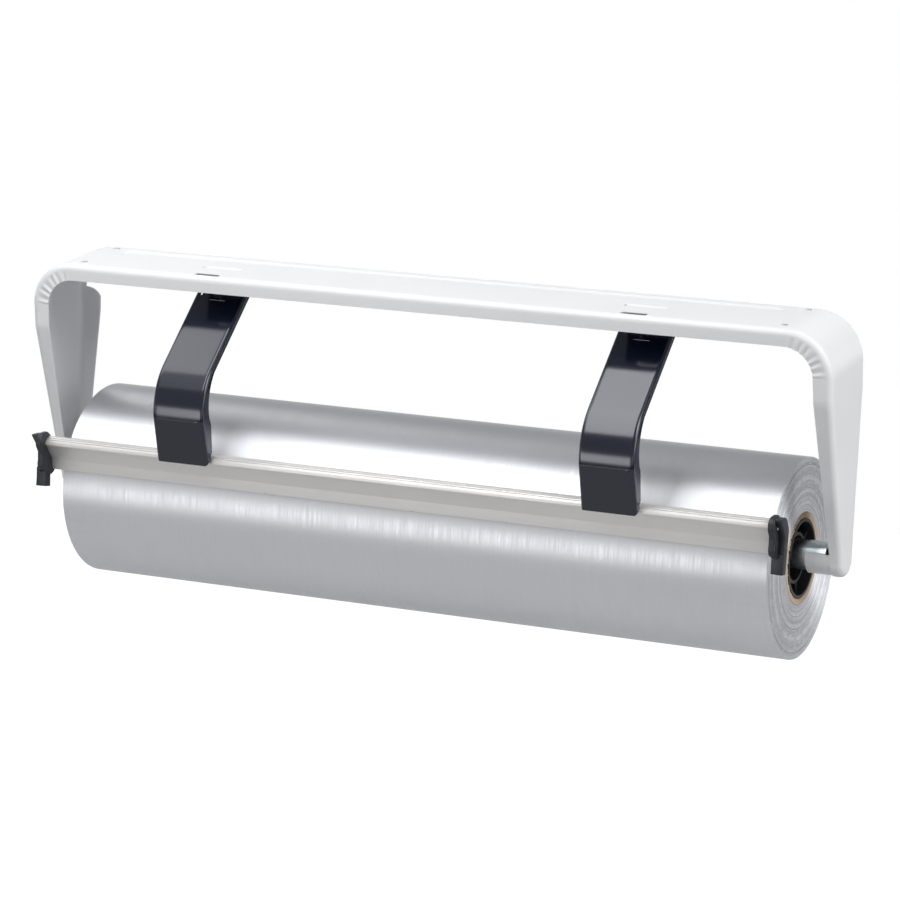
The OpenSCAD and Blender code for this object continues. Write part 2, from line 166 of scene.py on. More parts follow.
class Bench:
    """The workbench: every mesh is started and finished with Blender's own operators."""

    @staticmethod
    def clear() -> None:
        """Leaves edit mode and deselects everything."""
        if bpy.context.object and bpy.context.object.mode != "OBJECT":
            bpy.ops.object.mode_set(mode="OBJECT")
        bpy.ops.object.select_all(action="DESELECT")

    @staticmethod
    def pick(piece: Piece) -> None:
        """Makes a piece the only selected one, and the active one.

        Args:
            piece: the piece.
        """
        Bench.clear()
        piece.select_set(True)
        bpy.context.view_layer.objects.active = piece

    @staticmethod
    def edit() -> None:
        """Opens the active piece in edit mode, with everything selected."""
        bpy.ops.object.mode_set(mode="EDIT")
        bpy.ops.mesh.select_all(action="SELECT")

    @staticmethod
    def close() -> None:
        """Merges doubles, turns every face outwards and leaves edit mode."""
        bpy.ops.mesh.select_all(action="SELECT")
        bpy.ops.mesh.remove_doubles(threshold=0.00001)
        bpy.ops.mesh.normals_make_consistent(inside=False)
        bpy.ops.object.mode_set(mode="OBJECT")

    @staticmethod
    def tidy(piece: Piece) -> None:
        """Merges a piece's doubles and turns its faces outwards.

        Args:
            piece: the piece.
        """
        Bench.pick(piece)
        Bench.edit()
        Bench.close()

    @staticmethod
    def named(name: str) -> Piece:
        """Names the object that was just made, and lays its place into its mesh.

        Args:
            name: the name that it gets.

        Returns:
            The object.
        """
        piece = bpy.context.object
        piece.name = piece.data.name = name
        bpy.ops.object.transform_apply(location=True, rotation=True, scale=True)
        return piece

    @staticmethod
    def sheet(name: str, grid: Sequence[Sequence[Point3]]) -> Piece:
        """A grid primitive that is formed into a sheet, as on a former.

        Args:
            name: the piece's name.
            grid: rows of places for the grid's crossings, in millimetres.

        Returns:
            The sheet, one face thick.
        """
        Bench.clear()
        steps = len(grid) - 1, len(grid[0]) - 1
        bpy.ops.mesh.primitive_grid_add(x_subdivisions=steps[0], y_subdivisions=steps[1], size=2.0)
        piece = Bench.named(name)
        for corner in piece.data.vertices:
            row, column = (round((at + 1.0) / 2.0 * n) for at, n in zip(corner.co, steps))
            corner.co = Vector(grid[row][column]) * MM
        return piece

    @staticmethod
    def turned(
        name: str, profile: Sequence[Point2], mid: Point2, sides: int, closed: bool = False
    ) -> Piece:
        """A piece turned about a line along X, from a profile of places and radii.

        Args:
            name: the piece's name.
            profile: (x, radius) pairs in millimetres.
            mid: the Y and Z of the line it turns about.
            sides: how many sides the round has.
            closed: joins the last ring to the first, as on a tube.

        Returns:
            The turned piece.
        """
        Bench.clear()
        x, radius = profile[0]
        bpy.ops.mesh.primitive_circle_add(
            vertices=sides, radius=radius * MM, fill_type="NOTHING" if closed else "NGON",
            location=(x * MM, mid[0] * MM, mid[1] * MM), rotation=(0.0, math.pi / 2, 0.0))
        piece = Bench.named(name)
        Bench.edit()
        for next_x, next_radius in [*profile[1:], *(profile[:1] if closed else [])]:
            bpy.ops.mesh.extrude_region_move(
                TRANSFORM_OT_translate={"value": ((next_x - x) * MM, 0.0, 0.0)})
            if abs(next_radius - radius) > 1e-6:
                share = next_radius / radius
                bpy.ops.transform.resize(
                    value=(1.0, share, share),
                    center_override=(next_x * MM, mid[0] * MM, mid[1] * MM))
            x, radius = next_x, next_radius
        Bench.close()
        return piece

    @staticmethod
    def extruded(name: str, outline: Sequence[Point2], start: float, width: float) -> Piece:
        """A Y-Z outline, extruded along X.

        Args:
            name: the piece's name.
            outline: the (y, z) corners in millimetres, in order.
            start: the X of its first face.
            width: how far it is extruded.

        Returns:
            The solid.
        """
        Bench.clear()
        bpy.ops.mesh.primitive_circle_add(vertices=len(outline), radius=1.0, fill_type="NGON")
        piece = Bench.named(name)
        for corner, (y, z) in zip(piece.data.vertices, outline):
            corner.co = Vector((start, y, z)) * MM
        Bench.edit()
        bpy.ops.mesh.extrude_region_move(TRANSFORM_OT_translate={"value": (width * MM, 0.0, 0.0)})
        Bench.close()
        return piece

    @staticmethod
    def block(name: str, low: Point3, high: Point3) -> Piece:
        """A cube primitive between two corners.

        Args:
            name: the piece's name.
            low: its lowest corner, in millimetres.
            high: its highest corner.

        Returns:
            The block.
        """
        Bench.clear()
        middle = [(a + b) / 2 * MM for a, b in zip(low, high)]
        size = [(b - a) * MM for a, b in zip(low, high)]
        bpy.ops.mesh.primitive_cube_add(size=1.0, location=middle, scale=size)
        return Bench.named(name)

    @staticmethod
    def modified(piece: Piece, kind: str, **values: object) -> bpy.types.Modifier:
        """Adds a modifier with its values.

        Args:
            piece: the piece.
            kind: Blender's name of the modifier type.
            values: the modifier's own settings.

        Returns:
            The modifier.
        """
        modifier = piece.modifiers.new(kind, kind)
        for key, value in values.items():
            setattr(modifier, key, value)
        return modifier

    @staticmethod
    def finish(piece: Piece, kind: str, **values: object) -> None:
        """Adds a modifier with its values, and applies it at once."""
        Bench.pick(piece)
        bpy.ops.object.modifier_apply(modifier=Bench.modified(piece, kind, **values).name)

    @staticmethod
    def bevel(width: float, segments: int = 2, angle: float = 40.0) -> dict[str, object]:
        """The values of a bevel that rounds the edges sharper than an angle.

        Args:
            width: how wide the rounding is, in millimetres.
            segments: how many steps it has.
            angle: the angle, in degrees.

        Returns:
            The modifier's settings.
        """
        return {"width": width * MM, "segments": segments, "limit_method": "ANGLE",
                "angle_limit": math.radians(angle), "use_clamp_overlap": True,
                "harden_normals": False}

    @staticmethod
    def eased_edges(piece: Piece, width: float, segments: int = 2, angle: float = 40.0) -> None:
        """Rounds the sharp edges of a piece a little."""
        Bench.finish(piece, "BEVEL", **Bench.bevel(width, segments, angle))

    @staticmethod
    def walled(piece: Piece, wall: float, outward: Vector) -> None:
        """Gives a sheet its thickness on its inner side.

        Args:
            piece: the sheet.
            wall: its thickness in millimetres.
            outward: the way that its first face has to look.
        """
        if piece.data.polygons[0].normal.dot(outward) < 0:
            Bench.pick(piece)
            Bench.edit()
            bpy.ops.mesh.flip_normals()
            bpy.ops.object.mode_set(mode="OBJECT")
        Bench.finish(piece, "SOLIDIFY", thickness=wall * MM, offset=-1.0, use_even_offset=True)

    @staticmethod
    def cut(piece: Piece, cutter: Piece) -> None:
        """Takes a cutter's shape out of a piece, and throws the cutter away."""
        Bench.finish(piece, "BOOLEAN", operation="DIFFERENCE", object=cutter, solver="EXACT")
        bpy.data.objects.remove(cutter)

    @staticmethod
    def joined(name: str, pieces: Sequence[Piece]) -> Piece:
        """Joins pieces into one object.

        Args:
            name: the whole's name.
            pieces: the pieces.

        Returns:
            The whole.
        """
        Bench.pick(pieces[0])
        for piece in pieces:
            piece.select_set(True)
        bpy.ops.object.join()
        whole = bpy.context.object
        whole.name = whole.data.name = name
        return whole

    @staticmethod
    def smoothed(piece: Piece, angle: float = 30.0) -> Piece:
        """Smooth shading, except over edges sharper than the angle.

        Args:
            piece: the piece.
            angle: the angle, in degrees.

        Returns:
            The same piece.
        """
        Bench.pick(piece)
        bpy.ops.object.shade_smooth_by_angle(angle=math.radians(angle))
        return piece


class Nodes:
    """A node tree, with short ways to add the nodes that the finishes use."""

    def __init__(self, tree: Tree) -> None:
        """Takes the tree that the nodes go into."""
        self.tree = tree

    def put(self, socket: Socket, value: object) -> None:
        """Links a socket to another one, or sets its plain value.

        Args:
            socket: the socket to feed.
            value: the other socket, or the value.
        """
        if isinstance(value, Socket):
            self.tree.links.new(value, socket)
        else:
            socket.default_value = value

    def add(
        self, kind: str, inputs: Mapping[object, object] | None = None, **options: object
    ) -> bpy.types.Node:
        """Adds a node, with its options set and its inputs fed.

        Args:
            kind: Blender's name of the node type, after its first word.
            inputs: input names or numbers, each with a value or a socket.
            options: the node's own settings.

        Returns:
            The node.
        """
        node = self.tree.nodes.new("ShaderNode" + kind)
        for key, value in options.items():
            setattr(node, key, value)
        for key, value in (inputs or {}).items():
            self.put(node.inputs[key], value)
        return node

    def maths(self, operation: str, *values: object) -> Socket:
        """The result of a sum."""
        return self.add("Math", dict(enumerate(values)), operation=operation).outputs["Value"]

    def vector(self, operation: str, *values: object) -> Socket:
        """The result of a sum with vectors."""
        node = self.add("VectorMath", dict(enumerate(values)), operation=operation)
        return node.outputs["Value" if operation == "LENGTH" else "Vector"]

    def combined(self, x: object, y: object, z: object = 0.0) -> Socket:
        """A vector of three values."""
        return self.add("CombineXYZ", {"X": x, "Y": y, "Z": z}).outputs["Vector"]

    def split(self, vector: Socket) -> Sockets:
        """A vector's parts, by the names X, Y and Z."""
        return self.add("SeparateXYZ", {"Vector": vector}).outputs

    def noise(self, place: Socket, scale: object, detail: float, roughness: float = 0.5) -> Socket:
        """The level of a noise, from 0 to 1."""
        values = {"Vector": place, "Scale": scale, "Detail": detail, "Roughness": roughness}
        return self.add("TexNoise", values).outputs["Fac"]

    def ranged(self, value: Socket, given: Point2, wanted: Point2) -> Socket:
        """A value, carried from the given range to the wanted one.

        Args:
            value: the value.
            given: the lowest and the highest value to expect.
            wanted: what they become.

        Returns:
            The carried value.
        """
        names = ("From Min", "From Max", "To Min", "To Max")
        values = {"Value": value, **dict(zip(names, given + wanted))}
        return self.add("MapRange", values).outputs["Result"]

    def mixed(self, share: Socket, *colours: Colour | Socket) -> Socket:
        """A colour between two."""
        first, second = (c if isinstance(c, Socket) else (*c, 1.0) for c in colours)
        return self.add("Mix", {0: share, 6: first, 7: second}, data_type="RGBA").outputs[2]

    def seen(self, path: Sockets) -> Socket:
        """1 for the rays by which the camera sees a background, and 0 for the rest."""
        return self.maths("MAXIMUM", path["Is Camera Ray"], path["Is Transmission Ray"])


class Graph(Nodes):
    """A material's nodes, round one shader."""

    def __init__(self, name: str) -> None:
        """Starts a material with this name.

        Args:
            name: the material's name.
        """
        self.material = bpy.data.materials.new(name)
        self.material.use_nodes = True
        super().__init__(self.material.node_tree)
        self.tree.nodes.clear()
        self.shader = self.add("BsdfPrincipled")
        self.out = self.add("OutputMaterial", {"Surface": self.shader.outputs["BSDF"]})
        self.coordinates = self.add("TexCoord").outputs

    def set(self, **values: object) -> None:
        """Sets or feeds the shader's own sockets; a name's underscores are spaces."""
        for key, value in values.items():
            self.put(self.shader.inputs[key.replace("_", " ")], value)

    def group(self, tree: Tree, **values: float) -> Sockets:
        """Places a shared group with its values, and gives its outputs."""
        inputs = {"Place": self.coordinates["Object"], **values}
        return self.add("Group", inputs, node_tree=tree).outputs

    def roughen(self, pattern: Socket, roughness: float, spread: Point2) -> None:
        """Lets a pattern vary the roughness.

        Args:
            pattern: the pattern.
            roughness: the mean roughness.
            spread: the lowest and the highest roughness, as shares of the mean.
        """
        wanted = (roughness * spread[0], roughness * spread[1])
        self.set(Roughness=self.ranged(pattern, NOISE_REACH, wanted))

    def bump(self, height: Socket, depth: float | Socket) -> None:
        """Feeds the shader's normal from a height, whose depth is in metres."""
        values = {"Height": height, "Distance": depth, "Strength": 1.0}
        self.set(Normal=self.add("Bump", values).outputs["Normal"])


class Effects:
    """The shader node groups that the finishes share."""

    def __init__(self) -> None:
        """Builds each group once."""
        self.grain = self._group("Grain", {"Fine": 900.0, "Slow": 20.0}, self._grain)
        self.drawn = self._group("Drawn lines", {"Lines": 1500.0, "Length": 12.0}, self._drawn)
        self.rounds = self._group(
            "Wound rounds", {"Y": 0.0, "Z": 0.0, "Turns": 900.0}, self._rounds)

    @staticmethod
    def _group(
        name: str, inputs: Mapping[str, float], wire: Callable[[Nodes, Sockets], Sockets]
    ) -> Tree:
        """A new group, which takes the object's coordinates as Place.

        Args:
            name: the group's name.
            inputs: its other inputs, with their default values.
            wire: adds its nodes and gives its outputs by name.

        Returns:
            The group.
        """
        tree = bpy.data.node_groups.new(name, "ShaderNodeTree")
        tree.interface.new_socket("Place", in_out="INPUT", socket_type="NodeSocketVector")
        for key, value in inputs.items():
            socket = tree.interface.new_socket(
                key, in_out="INPUT", socket_type="NodeSocketFloat")
            socket.default_value = value
        results = wire(Nodes(tree), tree.nodes.new("NodeGroupInput").outputs)
        for key, source in results.items():
            kind = "NodeSocketVector" if source.type == "VECTOR" else "NodeSocketFloat"
            tree.interface.new_socket(key, in_out="OUTPUT", socket_type=kind)
        out = tree.nodes.new("NodeGroupOutput")
        for key, source in results.items():
            tree.links.new(source, out.inputs[key])
        return tree

    @staticmethod
    def _grain(nodes: Nodes, given: Sockets) -> Sockets:
        """Fine grain over a slower cloud: paint's orange peel, moulded plastic, paper."""
        return {"Height": nodes.noise(given["Place"], given["Fine"], 3.0, 0.55),
                "Cloud": nodes.noise(given["Place"], given["Slow"], 4.0)}

    @staticmethod
    def _drawn(nodes: Nodes, given: Sockets) -> Sockets:
        """Fine lines along X, as a die leaves them on a drawn or extruded piece.

        Args:
            nodes: the group's nodes.
            given: its inputs.

        Returns:
            The lines' height.
        """
        across = nodes.combined(given["Length"], given["Lines"], given["Lines"])
        place = nodes.vector("MULTIPLY", given["Place"], across)
        return {"Height": nodes.noise(place, 1.0, 3.0, 0.6)}

    @staticmethod
    def _rounds(nodes: Nodes, given: Sockets) -> Sockets:
        """Lines round a line along X: rings on a roll's end face and hoops on its body.

        Args:
            nodes: the group's nodes.
            given: its inputs.

        Returns:
            The lines' height, broader bands of them, and the way across them.
        """
        place = nodes.split(given["Place"])
        out_way = [nodes.maths("SUBTRACT", place[key], given[key]) for key in "YZ"]
        flat = nodes.combined(0.0, *out_way)
        turns = nodes.maths("MULTIPLY", nodes.vector("LENGTH", flat), given["Turns"])
        wobble = nodes.noise(flat, 30.0, 2.0)
        hoops = nodes.maths("MULTIPLY", place["X"], 1600.0)
        apart = nodes.maths("MULTIPLY", nodes.noise(flat, 130.0, 2.0), 3.0)
        lean = nodes.vector("ADD", nodes.vector("NORMALIZE", flat), (1.0, 0.0, 0.0))
        across = nodes.add("VectorTransform", {"Vector": lean}, vector_type="VECTOR",
                           convert_from="OBJECT", convert_to="WORLD")
        return {"Height": nodes.noise(nodes.combined(turns, wobble, hoops), 1.0, 3.0, 0.65),
                "Bands": nodes.noise(nodes.combined(turns, apart), 0.9, 4.0, 0.6),
                "Across": across.outputs["Vector"]}


@dataclass(frozen=True)
class Finish:
    """A procedural material between two colours.

    Attributes:
        name: the material's name, which is the record's slot.
        light: the colour where the pattern is high.
        dark: the colour where it is low.
        roughness: the mean roughness.
    """

    name: str
    light: Colour
    dark: Colour
    roughness: float

    def build(self, effects: Effects) -> bpy.types.Material:
        """Makes the material.

        Args:
            effects: the shared node groups.

        Returns:
            The material.
        """
        graph = Graph(self.name)
        self.wire(graph, effects)
        return graph.material

    def wire(self, graph: Graph, effects: Effects) -> None:
        """Adds the finish's own nodes."""
        raise NotImplementedError


@dataclass(frozen=True)
class Coated(Finish):
    """A painted, enamelled or moulded finish: one colour with a fine grain.

    Attributes:
        grain: the grain's fineness, per metre.
        depth: the grain's depth, in millimetres.
        tint: the colour of what the finish mirrors.
        cloud: the slow cloud's fineness, per metre.
        shine: how strongly the finish mirrors, 0.5 for the usual.
        bending: how strongly its clear layer bends light.
        spread: the range of the roughness, as shares of its mean.
    """

    grain: float = 1200.0
    depth: float = 0.01
    tint: Colour = WHITE
    cloud: float = 14.0
    shine: float = 0.5
    bending: float = 1.5
    spread: Point2 = (0.9, 1.1)

    def wire(self, graph: Graph, effects: Effects) -> None:
        """Adds the grain and the cloud.

        Args:
            graph: the material's nodes.
            effects: the shared node groups.
        """
        grain = graph.group(effects.grain, Fine=self.grain, Slow=self.cloud)
        graph.set(Base_Color=graph.mixed(grain["Cloud"], self.dark, self.light),
                  IOR=self.bending, Specular_Tint=(*self.tint, 1.0),
                  Specular_IOR_Level=self.shine)
        graph.roughen(grain["Cloud"], self.roughness, self.spread)
        graph.bump(grain["Height"], self.depth * MM)


@dataclass(frozen=True)
class DrawnMetal(Finish):
    """A bare metal with fine lines along X.

    Attributes:
        lines: how many lines a metre holds.
        depth: their depth, in millimetres.
        metallic: how far it mirrors as bare metal, less where it is anodised.
        length: how many times the lines change along a metre.
        cloud: the fineness of the grain and of the slow cloud, per metre.
        spread: the range of the roughness, as shares of its mean.
    """

    lines: float = 2200.0
    depth: float = 0.004
    metallic: float = 1.0
    length: float = 14.0
    cloud: Point2 = (600.0, 25.0)
    spread: Point2 = (0.85, 1.2)

    def wire(self, graph: Graph, effects: Effects) -> None:
        """Adds the lines, and a slow cloud in the roughness.

        Args:
            graph: the material's nodes.
            effects: the shared node groups.
        """
        drawn = graph.group(effects.drawn, Lines=self.lines, Length=self.length)
        grain = graph.group(effects.grain, Fine=self.cloud[0], Slow=self.cloud[1])
        graph.set(Base_Color=graph.mixed(drawn["Height"], self.dark, self.light),
                  Metallic=self.metallic)
        graph.roughen(grain["Cloud"], self.roughness, self.spread)
        graph.bump(drawn["Height"], self.depth * MM)


@dataclass(frozen=True)
class WoundFoil(Finish):
    """Satin aluminium foil on a roll, with the wound turns showing on its end faces.

    Attributes:
        turns: how many lines a metre of the roll's radius holds.
        hoops: how strongly the lines show on the roll's body, 1 for as on its ends.
        depths: the pattern's depth on the body and on the ends, in millimetres.
        bands: the darkest and the lightest of the bands on the ends.
        band_reach: the part of their pattern that the bands are drawn from.
        streaks: how often the satin's streaks change round the roll and along it.
        cloud: the fineness of the grain and of the slow cloud, per metre.
        spread: the range of the roughness, as shares of its mean.
        stretch: how far the highlight is drawn out across the turns.
    """

    turns: float = 1400.0
    hoops: float = 0.25
    depths: Point2 = (0.014, 0.05)
    bands: Point2 = (0.7, 1.24)
    band_reach: Point2 = (0.36, 0.62)
    streaks: Point2 = (40.0, 900.0)
    cloud: Point2 = (700.0, 9.0)
    spread: Point2 = (0.9, 1.15)
    stretch: float = 0.75

    def wire(self, graph: Graph, effects: Effects) -> None:
        """Adds the wound lines, the bands and the satin's streaks.

        Args:
            graph: the material's nodes.
            effects: the shared node groups.
        """
        y, z = ROLL_AXIS
        rounds = graph.group(effects.rounds, Y=y * MM, Z=z * MM, Turns=self.turns)
        drawn = graph.group(effects.drawn, Lines=self.streaks[0], Length=self.streaks[1])
        grain = graph.group(effects.grain, Fine=self.cloud[0], Slow=self.cloud[1])
        whole = (0.0, 1.0)
        end_face = graph.maths("ABSOLUTE", graph.split(graph.coordinates["Normal"])["X"])
        share = graph.ranged(end_face, whole, (self.hoops, 1.0))
        height = graph.maths("MULTIPLY_ADD", rounds["Height"], share, grain["Height"])
        banded = graph.ranged(rounds["Bands"], self.band_reach, self.bands)
        level = graph.add("Mix", {0: end_face, 2: 1.0, 3: banded}).outputs[0]
        colour = graph.mixed(grain["Cloud"], self.dark, self.light)
        struck = graph.add("VectorMath", {0: colour, 3: level}, operation="SCALE")
        depth = graph.ranged(end_face, whole, (self.depths[0] * MM, self.depths[1] * MM))
        graph.roughen(drawn["Height"], self.roughness, self.spread)
        graph.bump(height, depth)
        graph.set(Base_Color=struck.outputs["Vector"], Tangent=rounds["Across"], Metallic=1.0,
                  Anisotropic=self.stretch)


@dataclass
class Hood:
    """The bent sheet-steel frame: top, legs, flanges, cradles and pressings."""

    # The sheet: its reach from the hole line, its wall and its bends.
    width: float = 563.0
    front: float = 33.5
    back: float = 28.9
    height: float = 163.7
    wall: float = 1.2
    corner: float = 30.0
    bend: float = 4.0
    rear_bend: float = 4.6
    drop: float = 10.7
    # The legs: where they start to narrow, and their feet.
    front_knee: float = 44.5
    back_knee: float = 46.5
    foot_front: float = 9.6
    foot_back: float = 12.0
    # The flanges' depths, and the rear one's relief at the bent corner.
    front_lip: float = 12.3
    back_lip: float = 16.4
    front_foot_lip: float = 7.9
    back_foot_lip: float = 8.3
    relief: float = 9.0
    relief_root: float = 0.6
    # The cradles and the screw holes.
    cradle_radius: float = 13.0
    cradle_mouth: float = -147.6
    cradle_reach: Point2 = (24.5, 6.3)
    hole_span: Point2 = (493.4, 42.7)
    hole: float = 2.5
    drill_length: float = 8.0
    # The pressed groove and the lanced bridges, each with a nick.
    groove_y: float = 13.0
    groove_width: float = 14.0
    groove_depth: float = 0.9
    groove_ends: Point2 = (-238.0, 235.0)
    groove_fade: Point2 = (2.9, 0.2)
    groove_fold: Point2 = (3.0, 4.0)
    bridge_y: float = -7.2
    bridge_size: Point2 = (28.0, 4.5)
    bridge_depth: float = 0.75
    bridge_fade: Point2 = (0.5, 0.7)
    bridge_left: Point2 = (0.4, 2.4)
    bridge_right: Point2 = (2.4, 0.6)
    nick_low: Point2 = (-14.2, -1.9)
    nick_high: Point2 = (-12.9, 1.1)
    # The bracket slots.
    slot_size: Point2 = (17.5, 4.5)
    slot_y: float = -27.25
    slot_edge: float = 0.7
    slot_low: float = -3.0
    cutter_low: float = -4.0
    cutter_top: float = 2.0
    edge: float = 0.3
    # The crimped flutes inside the corners, and how the rear bend's radius changes.
    flute_depth: float = 0.34
    flute_waves: tuple[Point3, ...] = ((1.0, 28.0, 0.7), (0.3, 41.0, 0.0))
    flute_ends: Point2 = (12.0, 76.0)
    flute_fade: Point2 = (0.7, 4.0)
    corner_blend: Point2 = (5.0, 85.0)
    foot_blend: float = 30.0
    inside_z: float = -80.0
    # The mesh's fineness: its rows and columns crowd at the pressed edges.
    fold_half: float = 1.2
    column_halves: Point2 = (1.3, 0.8)
    corner_steps: int = 72
    bend_steps: int = 7
    lip_steps: int = 7
    step: float = 3.6
    fine: float = 0.45
    thinning: float = 0.4
    foot_steps: int = 36
    foot_spokes: int = 10
    hook_steps: int = 28
    tongue_steps: int = 8
    hole_sides: int = 40

    @property
    def half(self) -> float:
        """Half the width."""
        return self.width / 2

    @property
    def foot(self) -> float:
        """The radius of a leg's round foot."""
        return (self.foot_front + self.foot_back) / 2

    @property
    def foot_mid(self) -> Point2:
        """The Y and Z of the middle of a leg's round foot."""
        return ((self.foot_back - self.foot_front) / 2, self.foot - self.height)

    def reach(self, z: float) -> Point2:
        """How far the front and the rear face stand from the hole line at a height.

        Args:
            z: the height.

        Returns:
            The front and the rear reach.
        """
        foot_z = self.foot_mid[1]
        down_front, down_back = (
            max(0.0, (-knee - z) / (-knee - foot_z)) for knee in (self.front_knee, self.back_knee))
        return (blend(self.front, self.foot_front, down_front),
                blend(self.back, self.foot_back, down_back))

    def lips(self, x: float, z: float, angle: float) -> Point2:
        """The depth of the front and rear flange, from the sheet's outer face.

        Args:
            x: the distance of the outer face from the middle, along the roll.
            z: the height of the outer face.
            angle: the way that the face looks, from 0 on a leg to 90 on the top.

        Returns:
            The front and the rear depth.
        """
        front = self.lip(x, z, angle, self.front_lip, self.front_foot_lip)
        back = self.lip(x, z, angle, self.back_lip, self.back_foot_lip)
        return front, min(back, self.relieved(x, z))

    def lip(self, x: float, z: float, angle: float, lip: float, foot_lip: float) -> float:
        """The depth of one flange, before the rear one's relief is cut.

        Args:
            x: the distance of the outer face from the middle, along the roll.
            z: the height of the outer face.
            angle: the way that the face looks, from 0 on a leg to 90 on the top.
            lip: the flange's depth at the leg's upper end.
            foot_lip: its depth at the foot.

        Returns:
            The depth; round a corner, the flange's edge is an arc round the opening.
        """
        if z <= -self.corner:
            return blend(lip, foot_lip, (-self.corner - z) / (-self.corner - self.foot_mid[1]))
        inner = self.corner - self.drop
        offset = (self.corner - lip) - inner
        if angle < 90.0:
            cos = math.cos(math.radians(angle))
            return (self.corner - offset * cos
                    - math.sqrt(inner ** 2 - offset ** 2 * (1.0 - cos ** 2)))
        over = x - (self.half - self.corner + offset)
        edge = 0.0 if over <= 0.0 else inner - math.sqrt(max(inner ** 2 - over ** 2, 0.0))
        return self.drop + edge

    def relieved(self, x: float, z: float) -> float:
        """The most that the rear flange can be deep, as it is cut away at the bent corner.

        Args:
            x: the distance of the outer face from the middle, along the roll.
            z: its height.

        Returns:
            The depth.
        """
        root = self.rear_bend + self.relief_root
        into = min(max(-self.corner - z, self.half - self.corner - x, 0.0), self.relief)
        return blend(root, self.back_lip, math.sqrt(1.0 - (1.0 - into / self.relief) ** 2))

    def stations(self) -> list[Point3]:
        """The outer face along the hood, from one foot to the other.

        Returns:
            (x, z, angle) at each step; the angle is where the face looks, from 180 to 0.
        """
        flat = self.half - self.corner
        pressed = [(-self.corner - self.relief / 2, self.relief / 2)]
        legs = self.crowded(self.foot_mid[1], -self.corner, pressed)[:-1]
        left = [(-self.half, z, 180.0) for z in legs]
        angles = spaced(180.0, 90.0, self.corner_steps)[:-1]
        bent = arc((-flat, -self.corner), self.corner, 180.0, 90.0, self.corner_steps)
        left += [(x, z, angle) for (x, z), angle in zip(bent, angles)]
        top = [(x, 0.0, 90.0) for x in self.crowded(-flat, flat, self.fold_rows())]
        return left + top + [(-x, z, 180.0 - a) for x, z, a in reversed(left)]

    def crowded(self, start: float, end: float, folds: Sequence[Point2]) -> list[float]:
        """Places along a line, close together where the sheet is pressed.

        Args:
            start: the first place.
            end: the last place.
            folds: the middle and the half width of each pressed edge.

        Returns:
            The places, in order.
        """
        places = [start]
        while places[-1] < end - 1e-6:
            here = places[-1]
            near = min(max(abs(here - mid) - half, 0.0) for mid, half in folds)
            places.append(min(here + min(self.step, self.fine + self.thinning * near), end))
        if places[-1] - places[-2] < 0.5 * self.fine:
            places.pop(-2)
        return places

    def fold_rows(self) -> list[Point2]:
        """The pressed edges that cross the hood, along X.

        Returns:
            The middle and the half width of each.
        """
        inset, width = self.groove_fold
        ends = [(self.groove_ends[0] + inset, width), (self.groove_ends[1] - inset, width)]
        reach = self.bridge_size[0] / 2
        return ends + [(s * ARM_SPAN / 2 + t * reach, self.fold_half)
                       for s in (-1, 1) for t in (-1, 1)]

    def fold_columns(self) -> list[Point2]:
        """The pressed edges that run along the hood, along Y.

        Returns:
            The middle and the half width of each.
        """
        groove, bridge = self.groove_width / 2 - self.fold_half, self.bridge_size[1] / 2
        wide, narrow = self.column_halves
        return [(self.groove_y - groove, wide), (self.groove_y + groove, wide),
                (self.bridge_y - bridge, narrow), (self.bridge_y + bridge, narrow)]

    def section(self, front: float, back: float, lips: Point2, rear: float) -> list[Point2]:
        """The section across the sheet.

        Args:
            front: how far the front face stands out.
            back: how far the rear face stands out.
            lips: the depths of the front and the rear flange.
            rear: the radius of the rear flange's bend.

        Returns:
            (depth below the outer face, y) at each step.
        """
        b = self.bend
        line = [(depth, -front) for depth in spaced(lips[0], b, self.lip_steps)[:-1]]
        line += arc((b, b - front), b, 270.0, 180.0, self.bend_steps)[:-1]
        share = (front + back - b - rear) / (self.front + self.back - 2 * b)
        whole = self.crowded(b - self.front, self.back - b, self.fold_columns())
        line += [(0.0, b - front + (y - b + self.front) * share) for y in whole]
        line += arc((rear, back - rear), rear, 180.0, 90.0, self.bend_steps)[1:]
        return line + [(depth, back) for depth in spaced(rear, lips[1], self.lip_steps)[1:]]

    def pressed(self, x: float, y: float) -> float:
        """How deep the groove and the lanced bridges lie at a place on the top.

        Args:
            x: the place along the roll.
            y: the place from front to rear.

        Returns:
            The depth.
        """
        half = self.groove_width / 2
        over = max(self.groove_ends[0] + half - x, x - self.groove_ends[1] + half, 0.0)
        from_groove = math.hypot(over, y - self.groove_y)
        inner, outer = half - self.groove_fade[0], half + self.groove_fade[1]
        depth = self.groove_depth * (1.0 - eased(from_groove, inner, outer))
        reach, width = self.bridge_size[0] / 2, self.bridge_size[1] / 2
        for side in Side:
            along = x - side.value * ARM_SPAN / 2
            across = eased(abs(y - self.bridge_y), width - self.bridge_fade[0],
                           width + self.bridge_fade[1])
            left = eased(along, self.bridge_left[0] - reach, self.bridge_left[1] - reach)
            right = eased(along, reach - self.bridge_right[0], reach + self.bridge_right[1])
            depth = max(depth, self.bridge_depth * (1.0 - across) * left * (1.0 - right))
        return depth

    def fluted(self, depth: float, lip: float, angle: float) -> float:
        """How far a corner's crimped flange waves in and out.

        Args:
            depth: the place's depth below the outer face.
            lip: the flange's whole depth there.
            angle: the way that the outer face looks, from 0 to 90.

        Returns:
            The wave, which fades out towards the bend and the corner's ends.
        """
        near, far = self.flute_fade
        across = eased(depth, self.bend * near, min(self.bend + far, lip))
        start, end = self.flute_ends
        along = eased(angle, 0.0, start) * (1.0 - eased(angle, end, 90.0))
        return self.flute_depth * across * along * waves(math.radians(angle), self.flute_waves)

